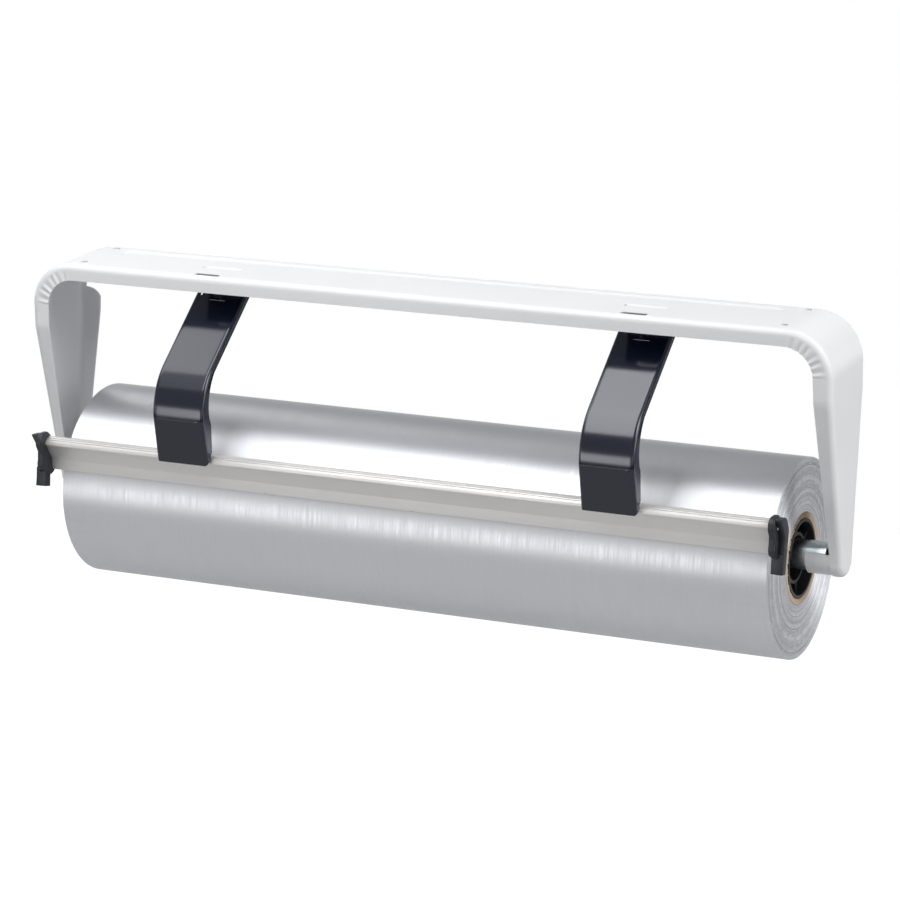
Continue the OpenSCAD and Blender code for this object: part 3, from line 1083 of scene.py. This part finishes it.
    def row(self, x: float, z: float, angle: float) -> list[Point3]:
        """The points across the sheet's outer face at one station.

        Args:
            x: the station's place along the roll.
            z: its height.
            angle: the way that the face looks, from 180 to 0.

        Returns:
            The points, from the front flange's edge to the rear one's.
        """
        upright = min(angle, 180.0 - angle)
        lips = self.lips(abs(x), z, upright)
        rear = blend(self.rear_bend, self.bend, eased(upright, *self.corner_blend))
        above_foot = eased(z, self.foot_mid[1], self.foot_mid[1] + self.foot_blend)
        rear = blend(self.bend, rear, above_foot)
        nx, nz = math.cos(math.radians(angle)), math.sin(math.radians(angle))
        points = []
        for depth, y in self.section(*self.reach(z), lips, rear):
            if upright == 90.0 and depth == 0.0:
                depth = self.pressed(x, y)
            if 0.0 < upright < 90.0 and depth > self.bend:
                wave = self.fluted(depth, lips[0] if y < 0 else lips[1], upright)
                y += wave if y < 0 else -wave
            points.append((x - depth * nx, y, z - depth * nz))
        return points

    def round_foot(self, side: Side) -> Piece:
        """The round lower end of a leg, with its flange all the way round.

        Args:
            side: the leg.

        Returns:
            The sheet, one face thick.
        """
        b = self.bend
        bend = arc((b, self.foot - b), b, 90.0, 180.0, self.bend_steps)[:-1]
        disc = [(0.0, radius) for radius in spaced(self.foot - b, 0.0, self.foot_spokes)]
        grid = []
        for turn in spaced(0.0, 1.0, self.foot_steps):
            lip = blend(self.front_foot_lip, self.back_foot_lip, turn)
            flange = [(depth, self.foot) for depth in spaced(lip, b, self.lip_steps)[:-1]]
            a = math.radians(blend(180.0, 360.0, turn))
            grid.append([(side.value * (self.half - depth),
                          self.foot_mid[0] + radius * math.cos(a),
                          self.foot_mid[1] + radius * math.sin(a))
                         for depth, radius in flange + bend + disc])
        return Bench.sheet(f"{side.word}_foot", grid)

    def cradle(self, side: Side) -> Piece:
        """The tongue that curls under the axle as a hook.

        Args:
            side: the leg that it is bent from.

        Returns:
            The solid.
        """
        y, radius, mouth = AXLE_AXIS[0], self.cradle_radius, self.cradle_mouth
        under = arc((y, radius - self.height), radius, 180.0, 360.0, self.hook_steps)
        path = [(y - radius, mouth), *under, (y + radius, mouth)]
        near, far = (self.half - inset for inset in self.cradle_reach)
        across = [side.value * x for x in spaced(near, far, self.tongue_steps)]
        piece = Bench.sheet(f"{side.word}_cradle", [[(x, y, z) for x in across] for y, z in path])
        Bench.walled(piece, self.wall, Vector((0.0, -1.0, 0.0)))
        return piece

    def build(self) -> Piece:
        """Makes the hood.

        Returns:
            The finished piece.
        """
        shell = Bench.sheet("hood_shell", [self.row(*station) for station in self.stations()])
        shell = Bench.joined("frame_sheet", [shell, *(self.round_foot(side) for side in Side)])
        Bench.tidy(shell)
        inside = Vector((0.0, 0.0, self.inside_z * MM))
        Bench.walled(shell, self.wall, shell.data.polygons[0].center - inside)
        wide, deep = self.slot_size
        for side in Side:
            for rear in (-1, 1):
                self.drill(shell, side.value * self.hole_span[0] / 2, rear * self.hole_span[1] / 2)
            mid = side.value * ARM_SPAN / 2
            slot = Bench.block(
                "slot", (mid - wide / 2, self.slot_y - deep / 2, self.slot_low),
                (mid + wide / 2, self.slot_y + deep / 2, self.cutter_top))
            Bench.eased_edges(slot, self.slot_edge, 3, 60.0)
            Bench.cut(shell, slot)
            low, high = ((mid + x, self.bridge_y + y) for x, y in (self.nick_low, self.nick_high))
            nick = Bench.block("nick", (*low, self.cutter_low), (*high, self.cutter_top))
            Bench.cut(shell, nick)
        whole = Bench.joined("frame_sheet", [shell, *(self.cradle(side) for side in Side)])
        Bench.eased_edges(whole, self.edge, 2, 50.0)
        return Bench.smoothed(whole, 35.0)

    def drill(self, plate: Piece, x: float, y: float) -> None:
        """Drills one screw hole.

        Args:
            plate: the sheet to drill.
            x: the hole's place along the roll.
            y: its place from front to rear.
        """
        Bench.clear()
        bpy.ops.mesh.primitive_cylinder_add(
            vertices=self.hole_sides, radius=self.hole * MM, depth=self.drill_length * MM,
            location=(x * MM, y * MM, 0.0))
        Bench.cut(plate, Bench.named("drill"))


@dataclass
class Roll:
    """The foil roll and its cardboard core."""

    length: float = 500.0
    radius: float = 64.1
    core: float = 29.6
    core_wall: float = 4.1
    ease: float = 0.4
    torn: float = 0.7
    torn_waves: Point3 = (11.0, 29.0, 61.0)
    torn_edge: float = 0.6
    gap: float = 0.3
    rim: Point2 = (0.5, 0.1)
    wobbles: tuple[Point3, ...] = ((0.03, 1.7, 0.0), (0.05, 0.21, 1.0), (0.02, 3.9, 0.0))
    fit: float = 0.05
    rings: int = 64
    body_steps: int = 10
    sides: int = 240
    core_sides: int = 144

    def foil(self) -> Piece:
        """The wound foil, its end faces slightly uneven as it was wound.

        Returns:
            The finished piece.
        """
        half, (inset, drop) = self.length / 2, self.rim
        wobble = [waves(i, self.wobbles) for i in range(self.rings + 1)]
        radii = spaced(self.core + self.fit, self.radius - inset, self.rings)
        left = [(-half + self.gap + w, radius) for w, radius in zip(wobble, radii)]
        right = [(half - self.gap - w, radius) for w, radius in zip(wobble, reversed(radii))]
        ends = (-half + 2 * inset, half - 2 * inset)
        body = [(x, self.radius) for x in spaced(*ends, self.body_steps)]
        rims = [(x, self.radius - drop) for x in (-half + inset, half - inset)]
        profile = [*left, rims[0], *body, rims[1], *right]
        wound = Bench.turned("foil_wound", profile, ROLL_AXIS, self.sides, closed=True)
        return Bench.smoothed(wound)

    def tube(self) -> Piece:
        """The cardboard core, the inner edges of its ends a little torn.

        Returns:
            The finished piece.
        """
        half, inner = self.length / 2, self.core - self.core_wall
        profile = ring(half, inner, self.core, self.ease)
        piece = Bench.turned("cardboard_tube", profile, ROLL_AXIS, self.core_sides, closed=True)
        for corner in piece.data.vertices:
            x, y, z = (value / MM for value in corner.co)
            y, z = y - ROLL_AXIS[0], z - ROLL_AXIS[1]
            if abs(x) > half - self.torn_edge and math.hypot(y, z) < inner + self.torn_edge:
                slow, quick, fast = (math.atan2(z, y) * pace for pace in self.torn_waves)
                torn = (0.5 + 0.5 * math.sin(slow) * math.sin(quick + 1.0)
                        + 0.4 * math.sin(fast))
                corner.co.x -= math.copysign(max(torn, 0.0) * self.torn * MM, x)
        return Bench.smoothed(piece)


@dataclass
class Axle:
    """The hollow tube that lies in the cradles."""

    length: float = 538.0
    radius: float = 9.5
    wall: float = 1.2
    ease: float = 0.3
    sides: int = 64

    def build(self) -> Piece:
        """Makes the tube, its ends deburred.

        Returns:
            The finished piece.
        """
        profile = ring(self.length / 2, self.radius - self.wall, self.radius, self.ease)
        pipe = Bench.turned("axle_pipe", profile, AXLE_AXIS, self.sides, closed=True)
        return Bench.smoothed(pipe)


@dataclass
class Arm:
    """A bent channel that carries the rail."""

    side: Side
    # The channel: its section, its slope from the ear down and the curve to the upright part.
    width: float = 37.4
    wall: float = 1.5
    bend: float = 2.4
    slope: float = 37.5
    ear: float = 5.8
    curve: float = 41.0
    start: float = 5.0
    # The flanges: on the slope, below the curve and, where they meet the rail, at the foot.
    lip: float = 4.0
    deep_lip: float = 9.5
    foot_lip: float = 3.0
    rail_top: float = -111.6
    rail_face: float = -62.6
    # The foot: its lower edge, how far the face tucks in above it and how it is rounded.
    foot: Point2 = (-69.83, -116.93)
    tuck: float = 4.2
    foot_shares: tuple[float, ...] = (
        0.008, 0.02, *(i / 14 for i in range(1, 13)), 0.9, 0.94, 0.97, 0.985, 1.0)
    foot_lean: float = 5.0
    foot_round: float = 1.6
    foot_fade: float = 5.0
    foot_depth: float = 5.2
    # The crease across the face, in a band that is a share of the upright part.
    crease: float = 0.16
    crease_band: Point2 = (0.004, 0.014)
    crease_margin: float = 0.6
    # The notch in the left arm's head and the slit in both, from the arm's middle.
    notch_low: Point3 = (-16.3, -11.2, -26.0)
    notch_high: Point3 = (-13.5, 3.0, 0.0)
    slit_low: Point3 = (-6.5, -14.1, -26.0)
    slit_high: Point3 = (5.0, -13.75, -14.0)
    edge: float = 0.25
    # The mesh's fineness.
    lip_steps: int = 4
    bend_steps: int = 6
    web_steps: int = 20
    slope_steps: int = 26
    curve_steps: int = 24
    ear_sides: int = 40

    def path(self) -> list[tuple[float, float, float, float]]:
        """The face's line from the hinge to the foot.

        Returns:
            (y, z, angle that the face looks, flange depth) at each step.
        """
        sin, cos = math.sin(math.radians(self.slope)), math.cos(math.radians(self.slope))
        pivot_y, pivot_z = HINGE_AXIS
        run = (pivot_y - self.ear * sin - self.curve * (1.0 - sin)
               - (self.foot[0] - self.tuck)) / cos
        top_y, top_z = pivot_y - self.ear * sin, pivot_z + self.ear * cos
        look = 90.0 + self.slope
        line = [(top_y - d * cos, top_z - d * sin, look, self.lip)
                for d in spaced(self.start, run, self.slope_steps)[:-1]]
        mid = (top_y - run * cos + self.curve * sin, top_z - run * sin - self.curve * cos)
        bent = arc(mid, self.curve, look, 180.0, self.curve_steps)
        for (y, z), turn in zip(bent, spaced(look, 180.0, self.curve_steps)):
            share = (turn - look) / (180.0 - look)
            line.append((y, z, turn, blend(self.lip, self.deep_lip, share)))
        y, z = bent[-1]
        tilt = 180.0 + math.degrees(math.atan2(self.tuck, z - self.foot[1]))
        # The face leans in towards its foot over the first fifth, and its flanges deepen there.
        for share in self.foot_shares:
            face_y, height = blend(y, self.foot[0], share), blend(z, self.foot[1], share)
            depth = (min(self.deep_lip, self.foot[0] + self.foot_depth - face_y)
                     if height < self.rail_top else self.rail_face - face_y)
            leant = min(share * self.foot_lean, 1.0)
            line.append((face_y, height, blend(180.0, tilt, leant),
                         blend(self.deep_lip, max(depth, self.foot_lip), leant)))
        return sorted(line, key=lambda row: -row[1])

    def section(self, depth: float) -> list[Point2]:
        """The section across the channel.

        Args:
            depth: the flanges' depth.

        Returns:
            (x, depth below the face) at each step.
        """
        half, b = self.width / 2, self.bend
        left = [(-half, d) for d in spaced(depth, b, self.lip_steps)[:-1]]
        left += arc((b - half, b), b, 180.0, 270.0, self.bend_steps)[:-1]
        web = [(x, 0.0) for x in spaced(b - half, half - b, self.web_steps)]
        return left + web + [(-x, d) for x, d in reversed(left)]

    def row(self, mid: float, y: float, z: float, look: float, depth: float) -> list[Point3]:
        """The points across the arm's outer face, rounded off at the foot's corners.

        Args:
            mid: the X of the arm's middle.
            y: the face's Y.
            z: its height.
            look: the way that it looks, in degrees.
            depth: the flanges' depth.

        Returns:
            The points.
        """
        a, corner = math.radians(look), self.foot_round
        above, reach = z - self.foot[1], self.foot_fade * corner
        points = []
        for x, d in self.section(depth):
            over = corner - (self.width / 2 - abs(x))
            lift = 0.0
            if over > 0.0 and above < reach:
                lift = corner - math.sqrt(max(corner ** 2 - over ** 2, 0.0))
                lift *= 1.0 - above / reach
            points.append((mid + x, y - d * math.cos(a), z + lift - d * math.sin(a)))
        return points

    def build(self) -> Piece:
        """Makes the arm.

        Returns:
            The finished piece.
        """
        line, half, mid = self.path(), self.width / 2, self.side.value * ARM_SPAN / 2
        name = f"{self.side.word}_arm_channel"
        piece = Bench.sheet(name, [self.row(mid, *station) for station in line])
        Bench.walled(piece, self.wall, Vector((-1.0, 0.0, 0.0)))
        crease_y, crease_z = min((row[:2] for row in line), key=lambda row: row[0])
        drop, margin, (start, end) = crease_z - self.foot[1], self.crease_margin, self.crease_band
        for corner in piece.data.vertices:
            x, y, z = (value / MM for value in corner.co)
            on_face = y < crease_y + margin and x - mid < half - self.bend - margin
            if on_face and start < (crease_z - z) / drop < end:
                corner.co.y += self.crease * MM
        cuts = [(self.slit_low, self.slit_high)]
        if self.side is Side.LEFT:
            cuts.insert(0, (self.notch_low, self.notch_high))
        for low, high in cuts:
            places = ((mid + x, y, z) for x, y, z in (low, high))
            Bench.cut(piece, Bench.block("cutter", *places))
        ears = [self.ear_plate(mid + x) for x in (-half, half - self.wall)]
        whole = Bench.joined(name, [piece, *ears])
        Bench.eased_edges(whole, self.edge, 2, 50.0)
        return Bench.smoothed(whole, 20.0)

    def ear_plate(self, x: float) -> Piece:
        """The round ear with the hinge pin's bore.

        Args:
            x: the X of its first face.

        Returns:
            The solid.
        """
        far = x + self.wall
        profile = [(x, PIN_BORE), (x, self.ear), (far, self.ear), (far, PIN_BORE)]
        return Bench.turned("ear", profile, HINGE_AXIS, self.ear_sides, closed=True)


@dataclass
class TearBar:
    """The ribbed rail, its cutter blade and the two end caps.

    The outlines are (y, z) corners, measured from the blade's tip.
    """

    # The bar: its place, its length, the part of it in a cap and the length of a cap.
    tip: Point2 = (-55.05, -135.66)
    shift: float = -1.6
    length: float = 511.5
    socket: float = 5.0
    cap_length: float = 8.2
    # The rail's wall, the blade and the rounding of their edges.
    wall: float = 1.1
    blade_y: Point2 = (-55.45, -55.05)
    blade_z: Point2 = (-127.16, -135.66)
    blade_ground: float = 1.6
    rail_edge: float = 0.12
    blade_edge: float = 0.04
    # The cap: its shoe over the rail, the pad on it, the finger tab and the plate outside.
    shoe: float = 4.3
    shoe_edge: float = 0.9
    head: Arc = ((-8.6, 20.6), 6.4, 78.0, 214.0, 10)
    bulge: Arc = ((-8.9, 6.3), 5.2, 148.0, 262.0, 9)
    pad_round: float = 1.25
    pad_turn: Point2 = (11.25, 168.75)
    pad_steps: int = 7
    pad_ends: tuple[Point2, ...] = ((-10.6, 11.0), (-10.6, 1.8))
    pad_sunk: float = 0.95
    pad_width: float = 1.5
    pad_edge: float = 0.3
    tab_inset: float = 0.6
    tab_short: float = 1.0
    tab_edge: float = 0.3
    plate_lap: float = 0.4
    plate_edge: float = 0.45
    # The rail's outline, with the ribs of its head and as the inside has it, and its knee.
    ribbed: tuple[Point2, ...] = (
        (-2.6, 23.7), (-4.4, 23.62), (-6.0, 23.25), (-5.75, 22.6), (-6.1, 22.3), (-6.7, 22.9),
        (-7.35, 22.45), (-7.0, 21.9), (-7.3, 21.5), (-7.95, 21.9), (-8.3, 21.6), (-8.7, 21.08),
        (-9.05, 20.4), (-9.25, 19.75), (-9.27, 19.15), (-9.0, 18.65), (-8.0, 18.25))
    plain: tuple[Point2, ...] = (
        (-2.6, 23.7), (-6.1, 23.2), (-7.85, 22.0), (-9.05, 20.4), (-9.27, 19.15), (-8.0, 18.25))
    knee: tuple[Point2, ...] = ((-1.5, 7.6), (-1.5, 0.7))
    # The outlines of the tab, the plate, the shoe's waist and its back.
    tab: tuple[Point2, ...] = ((-9.0, 3.0), (-10.7, -9.4), (-4.5, -10.9), (-3.0, 3.0))
    plate: tuple[Point2, ...] = (
        (-12.5, 26.4), (-12.6, 25.2), (-9.0, 19.8), (-5.9, 14.2), (-6.2, 9.0), (-10.6, -9.6),
        (-4.4, -10.8), (-2.3, -1.0), (0.4, 10.0), (1.6, 16.2), (-1.4, 23.2), (-3.4, 25.2),
        (-6.4, 25.8))
    waist: tuple[Point2, ...] = ((-12.75, 14.8), (-12.9, 12.6))
    shoe_back: tuple[Point2, ...] = (
        (-6.4, -2.4), (-2.6, -3.0), (0.4, -2.0), (2.2, 0.2), (2.2, 3.0), (0.9, 9.0), (0.6, 18.0),
        (-1.6, 24.2), (-4.6, 26.8))

    def placed(self, outline: Sequence[Point2]) -> list[Point2]:
        """An outline at its place on the blade's tip."""
        return [(self.tip[0] + y, self.tip[1] + z) for y, z in outline]

    def rail(self) -> Piece:
        """The extruded rail, with two grooves between the ribs of its head.

        Returns:
            The finished piece.
        """
        inner = offset_line(self.plain + self.knee, self.wall)
        half = self.length / 2 + self.socket
        outline = self.placed([*self.ribbed, *self.knee, *reversed(inner)])
        piece = Bench.extruded("rail_extrusion", outline, self.shift - half, 2 * half)
        Bench.eased_edges(piece, self.rail_edge, 2, 30.0)
        return Bench.smoothed(piece, 25.0)

    def blade(self) -> Piece:
        """The cutter blade: a thin steel strip, its lower edge ground from both sides.

        Returns:
            The finished piece.
        """
        (front, back), (top, low) = self.blade_y, self.blade_z
        ground = low + self.blade_ground
        outline = ((back, top), (front, top), (front, ground), ((front + back) / 2, low),
                   (back, ground))
        start = self.shift - self.length / 2
        piece = Bench.extruded("blade_strip", outline, start, self.length)
        Bench.tidy(piece)
        Bench.eased_edges(piece, self.blade_edge, 1, 60.0)
        return piece

    def cap(self, side: Side) -> Piece:
        """An end cap: a shoe round the rail's end, and a plate with a horn and a finger tab.

        Args:
            side: the end that it closes.

        Returns:
            The finished piece.
        """
        shoe = [*arc(*self.head), *self.waist, *arc(*self.bulge), *self.shoe_back]
        pad = []
        for middle, turn in zip(self.pad_ends, (0.0, 180.0)):
            start, end = (angle + turn for angle in self.pad_turn)
            pad += arc(middle, self.pad_round, start, end, self.pad_steps)
        inner = self.shift + side.value * self.length / 2
        depth = self.shoe - self.plate_lap - self.cap_length
        pieces = []
        for outline, start, width, ease, segments in (
                (shoe, 0.0, self.shoe, self.shoe_edge, 3),
                (self.tab, self.tab_inset, self.cap_length - self.tab_short, self.tab_edge, 3),
                (self.plate, self.cap_length, depth, self.plate_edge, 3),
                (pad, self.shoe - self.pad_sunk, self.pad_width, self.pad_edge, 2)):
            part = Bench.extruded("part", self.placed(outline), inner + side.value * start,
                                  side.value * width)
            Bench.eased_edges(part, ease, segments, 45.0)
            pieces.append(part)
        return Bench.smoothed(Bench.joined(f"{side.word}_cap_moulding", pieces), 35.0)


@dataclass
class Bracket:
    """A folded clip under the top plate: its hook fills the slot, its ears hold the pin."""

    side: Side
    # The plate: half its width, its wall, how deep it lies under the top face, and its reach.
    half: float = 16.7
    wall: float = 1.2
    under: float = 1.22
    front: float = -27.85
    back: float = 4.0
    # The window under the bridge, as half its width and half its depth.
    window: Point2 = (15.7, 3.95)
    window_y: float = -7.2
    # The hook in the slot, and the ears that hold the pin.
    hook: Point2 = (-29.1, -25.4)
    hook_half: float = 8.0
    hook_top: float = 0.3
    ear: float = 4.2
    fold: float = 0.3
    clear: float = 1.0
    bore_sides: int = 40
    ear_steps: int = 16

    @property
    def low(self) -> float:
        """How deep the plate's lower face lies."""
        return self.under + self.wall

    def build(self) -> Piece:
        """Makes the bracket.

        Returns:
            The finished piece.
        """
        mid, low = self.side.value * ARM_SPAN / 2, self.low
        plate = Bench.block("plate", (mid - self.half, self.front, -low),
                            (mid + self.half, self.back, -self.under))
        wide, deep = self.window
        window = Bench.block("window", (mid - wide, self.window_y - deep, -low - self.clear),
                             (mid + wide, self.window_y + deep, 0.0))
        Bench.cut(plate, window)
        start, end = self.hook
        hook = Bench.extruded("hook", (
            (self.front, -low), (end, -low), (end, -self.hook_top - self.fold),
            (end - self.fold, -self.hook_top), (start, -self.hook_top), (start, -self.under),
            (self.front, -self.under)), mid - self.hook_half, 2 * self.hook_half)
        ears = [self.ear_plate(mid + x) for x in (-self.half, self.half - self.wall)]
        whole = Bench.joined(f"{self.side.word}_bracket", [plate, hook, *ears])
        Bench.eased_edges(whole, self.fold / 2)
        return Bench.smoothed(whole)

    def ear_plate(self, x: float) -> Piece:
        """An ear, round under the pin, with its bore.

        Args:
            x: the X of its first face.

        Returns:
            The solid.
        """
        y, root = HINGE_AXIS[0], self.fold - self.low
        outline = [(y - self.ear, root), *arc(HINGE_AXIS, self.ear, 180.0, 360.0, self.ear_steps),
                   (self.back, -self.low - self.wall), (self.back, root)]
        ear = Bench.extruded("ear", outline, x, self.wall)
        bore = [(x - self.clear, PIN_BORE), (x + self.wall + self.clear, PIN_BORE)]
        Bench.cut(ear, Bench.turned("bore", bore, HINGE_AXIS, self.bore_sides))
        return ear


@dataclass
class Studio:
    """The camera at the photograph's place, the floor, the lamps and the world.

    The camera's place and the floor's height are millimetres; the floor's size, the lamps and
    the soft boxes are metres. The lamps are (name, azimuth, elevation, height, watts) and the
    soft boxes are (name, place along the roll, watts).
    """

    eye: Point3 = (951.23, -1987.26, 508.39)
    azimuth: float = 25.344
    elevation: float = 15.691
    roll: float = -1.004
    focal_pixels: float = 3517.35
    picture: float = 900.0
    sensor: float = 36.0
    clip_start: float = 0.05
    floor_size: float = 2.4
    floor_z: float = -520.0
    floor_colour: Colour = (0.45, 0.45, 0.45)
    floor_glow: float = 0.84
    floor_mirrored: float = 0.22
    room_stops: tuple[Point2, ...] = (
        (0.0, 0.08), (0.41, 0.08), (0.43, 1.0), (0.535, 1.0), (0.555, 0.42), (1.0, 0.42))
    room_light: Colour = (0.15, 0.15, 0.15)
    aim: Point3 = (0.0, 0.0, -0.12)
    reach: float = 1.7
    lamp_width: float = 0.8
    lamps: tuple[tuple[str, float, float, float, float], ...] = (
        ("left_lamp", -84.0, 48.0, 0.8, 4.2), ("left_back_lamp", -125.0, 35.0, 0.8, 2.4),
        ("right_high_lamp", 55.0, 68.0, 0.8, 0.8), ("right_lamp", 75.0, 38.0, 0.8, 10.6),
        ("right_low_lamp", 90.0, 15.0, 0.8, 7.0), ("front_low_lamp", -21.0, -2.0, 0.4, 3.4))
    boxes: tuple[tuple[str, float, float], ...] = (
        ("near_box_lamp", -0.22, 6.3), ("far_box_lamp", -0.7, 1.0))
    box_place: Point2 = (-0.447, 0.853)
    box_way: Point3 = (0.0, -0.37, 0.83)
    box_size: Point2 = (0.4, 1.0)

    def camera(self) -> None:
        """Sets the camera at the photograph's angle."""
        a, r = math.radians(self.azimuth), math.radians(self.roll)
        back = compass(self.azimuth, self.elevation)
        right = Vector((math.cos(a), math.sin(a), 0.0))
        up = back.cross(right)
        across = right * math.cos(r) + up * math.sin(r)
        upward = -right * math.sin(r) + up * math.cos(r)
        turn = Matrix((across, upward, back)).transposed()
        Bench.clear()
        bpy.ops.object.camera_add()
        camera = bpy.context.object
        camera.name = "camera"
        camera.matrix_world = Matrix.Translation(Vector(self.eye) * MM) @ turn.to_4x4()
        camera.data.sensor_width = self.sensor
        camera.data.lens = self.focal_pixels / self.picture * self.sensor
        camera.data.clip_start = self.clip_start
        bpy.context.scene.camera = camera

    def floor(self) -> None:
        """A plain pale floor, white to the camera but for the object's shadow."""
        Bench.clear()
        bpy.ops.mesh.primitive_plane_add(
            size=self.floor_size, location=(0.0, 0.0, self.floor_z * MM))
        floor = Bench.named("floor")
        graph = Graph("floor_white")
        graph.set(Base_Color=(*self.floor_colour, 1.0), Roughness=0.9, Specular_IOR_Level=0.0)
        path = graph.add("LightPath").outputs
        mirrored = graph.maths("MULTIPLY", path["Is Glossy Ray"], self.floor_mirrored)
        shown = graph.maths("MULTIPLY_ADD", graph.seen(path), self.floor_glow, mirrored)
        glow = graph.add("Emission", {"Color": (*WHITE, 1.0), "Strength": shown})
        both = graph.add("AddShader", {
            0: graph.shader.outputs["BSDF"], 1: glow.outputs["Emission"]})
        graph.put(graph.out.inputs["Surface"], both.outputs["Shader"])
        floor.data.materials.append(graph.material)

    @staticmethod
    def lamp(name: str, place: Vector, way: Vector, size: Point2, watts: float) -> None:
        """An area lamp that the camera doesn't see.

        Args:
            name: the lamp's name.
            place: where it stands, in metres.
            way: the direction from what it lights to the lamp.
            size: its width and its height, in metres.
            watts: its power.
        """
        Bench.clear()
        bpy.ops.object.light_add(type="AREA", location=place)
        lamp = bpy.context.object
        lamp.name = name
        lamp.data.shape = "RECTANGLE"
        lamp.data.size, lamp.data.size_y = size
        lamp.data.energy = watts
        lamp.visible_camera = False
        lamp.rotation_euler = way.to_track_quat("Z", "Y").to_euler()

    def world(self) -> None:
        """A pale room: white to the camera, softer and graded for the rest."""
        world = bpy.data.worlds.new("room")
        bpy.context.scene.world = world
        world.use_nodes = True
        nodes = Nodes(world.node_tree)
        nodes.tree.nodes.clear()
        way = nodes.split(nodes.add("TexCoord").outputs["Generated"])
        height = nodes.ranged(way["Z"], (-1.0, 1.0), (0.0, 1.0))
        ramp = nodes.add("ValToRGB", {"Fac": height})
        while len(ramp.color_ramp.elements) < len(self.room_stops):
            ramp.color_ramp.elements.new(0.5)
        for element, (position, level) in zip(ramp.color_ramp.elements, self.room_stops):
            element.position = position
            element.color = (level, level, level, 1.0)
        path = nodes.add("LightPath").outputs
        lit = nodes.mixed(path["Is Diffuse Ray"], ramp.outputs["Color"], self.room_light)
        shown = nodes.mixed(nodes.seen(path), lit, WHITE)
        glow = nodes.add("Background", {"Color": shown, "Strength": 1.0})
        nodes.add("OutputWorld", {"Surface": glow.outputs["Background"]})

    def build(self) -> None:
        """Sets everything round the object."""
        self.camera()
        self.floor()
        self.world()
        for name, azimuth, elevation, height, watts in self.lamps:
            way = compass(azimuth, elevation)
            self.lamp(name, Vector(self.aim) + way * self.reach, way,
                      (self.lamp_width, height), watts)
        for name, across, watts in self.boxes:
            self.lamp(name, Vector((across, *self.box_place)), Vector(self.box_way),
                      self.box_size, watts)
        bpy.context.scene.view_settings.view_transform = "Standard"


FINISHES = (
    Coated("white_powder_coat", (0.87, 0.88, 0.895), (0.85, 0.86, 0.875), 0.38,
           grain=1500.0, depth=0.006),
    DrawnMetal("zinc_tube", (0.62, 0.67, 0.7), (0.45, 0.52, 0.52), 0.28),
    Coated("black_plug", (0.02, 0.02, 0.023), (0.014, 0.014, 0.016), 0.35),
    Coated("cardboard", (0.62, 0.49, 0.36), (0.47, 0.36, 0.26), 0.9,
           grain=700.0, depth=0.06, cloud=60.0),
    WoundFoil("foil", (0.735, 0.748, 0.78), (0.695, 0.708, 0.74), 0.5),
    Coated("black_enamel", (0.004, 0.007, 0.018), (0.003, 0.005, 0.014), 0.16,
           grain=300.0, depth=0.003, tint=(0.93, 0.95, 1.0), shine=0.7),
    Coated("bracket_steel", (0.03, 0.03, 0.033), (0.02, 0.02, 0.022), 0.4),
    DrawnMetal("bright_steel", (0.72, 0.72, 0.72), (0.6, 0.6, 0.6), 0.25),
    DrawnMetal("spring_steel", (0.6, 0.6, 0.62), (0.5, 0.5, 0.52), 0.3),
    DrawnMetal("rail_aluminium", (0.8, 0.79, 0.78), (0.72, 0.71, 0.7), 0.55, metallic=0.7),
    DrawnMetal("blade_steel", (0.74, 0.74, 0.73), (0.66, 0.66, 0.65), 0.3),
    Coated("cap_plastic", (0.02, 0.022, 0.029), (0.014, 0.016, 0.022), 0.45,
           grain=2200.0, depth=0.02, shine=0.45),
)


@dataclass
class Dispenser:
    """The whole object: its pieces, their finishes and the bodies they ride on."""

    edge: float = 0.12
    finishes: dict[str, bpy.types.Material] = field(init=False)

    def __post_init__(self) -> None:
        """Makes every material, by the record's slot."""
        effects = Effects()
        self.finishes = {kind.name: kind.build(effects) for kind in FINISHES}

    def dress(self, piece: Piece, slot: str, body: str, *nodes: str) -> None:
        """Gives a piece its finish and its body.

        Args:
            piece: the new piece.
            slot: the record's slot, whose finish it takes.
            body: the body that it rides on.
            nodes: the construction nodes that it stands for.
        """
        piece.data.materials.clear()
        piece.data.materials.append(self.finishes[slot])
        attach(piece, body)
        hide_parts(*nodes)
        log.info("%s: %d faces on %s", piece.name, len(piece.data.polygons), body)

    def keep(self) -> None:
        """Dresses every construction node, and eases the edges of the plugs, pins and clips."""
        slots = {row["node"]: row["material_slot"] for row in frame["record"]["subparts"]}
        for name, node in frame["nodes"].items():
            node.data.materials.clear()
            node.data.materials.append(self.finishes[slots[name]])
            if name.endswith(("plug", "pin", "clip")):
                Bench.modified(node, "BEVEL", **Bench.bevel(self.edge))

    def build(self) -> None:
        """Makes and dresses every piece."""
        self.keep()
        self.dress(Hood().build(), "white_powder_coat", "hood", "frame")
        for side in Side:
            bracket = Bracket(side).build()
            self.dress(bracket, "bracket_steel", "hood", f"{side.word}_hinge_bracket")
        self.dress(Axle().build(), "zinc_tube", "axle", "axle_tube")
        roll, bar = Roll(), TearBar()
        self.dress(roll.foil(), "foil", "roll", "foil_roll")
        self.dress(roll.tube(), "cardboard", "roll", "cardboard_core")
        self.dress(bar.rail(), "rail_aluminium", "tear_bar", "tear_rail")
        self.dress(bar.blade(), "blade_steel", "tear_bar", "cutter_blade")
        for side in Side:
            self.dress(Arm(side).build(), "black_enamel", "tear_bar", f"{side.word}_arm")
            self.dress(bar.cap(side), "cap_plastic", "tear_bar", f"{side.word}_end_cap")


def main() -> None:
    """Builds the room and the dispenser."""
    logging.basicConfig(level=logging.INFO, format="%(name)s: %(message)s")
    Studio().build()
    Dispenser().build()
    Bench.clear()


if __name__ == "__main__":
    main()
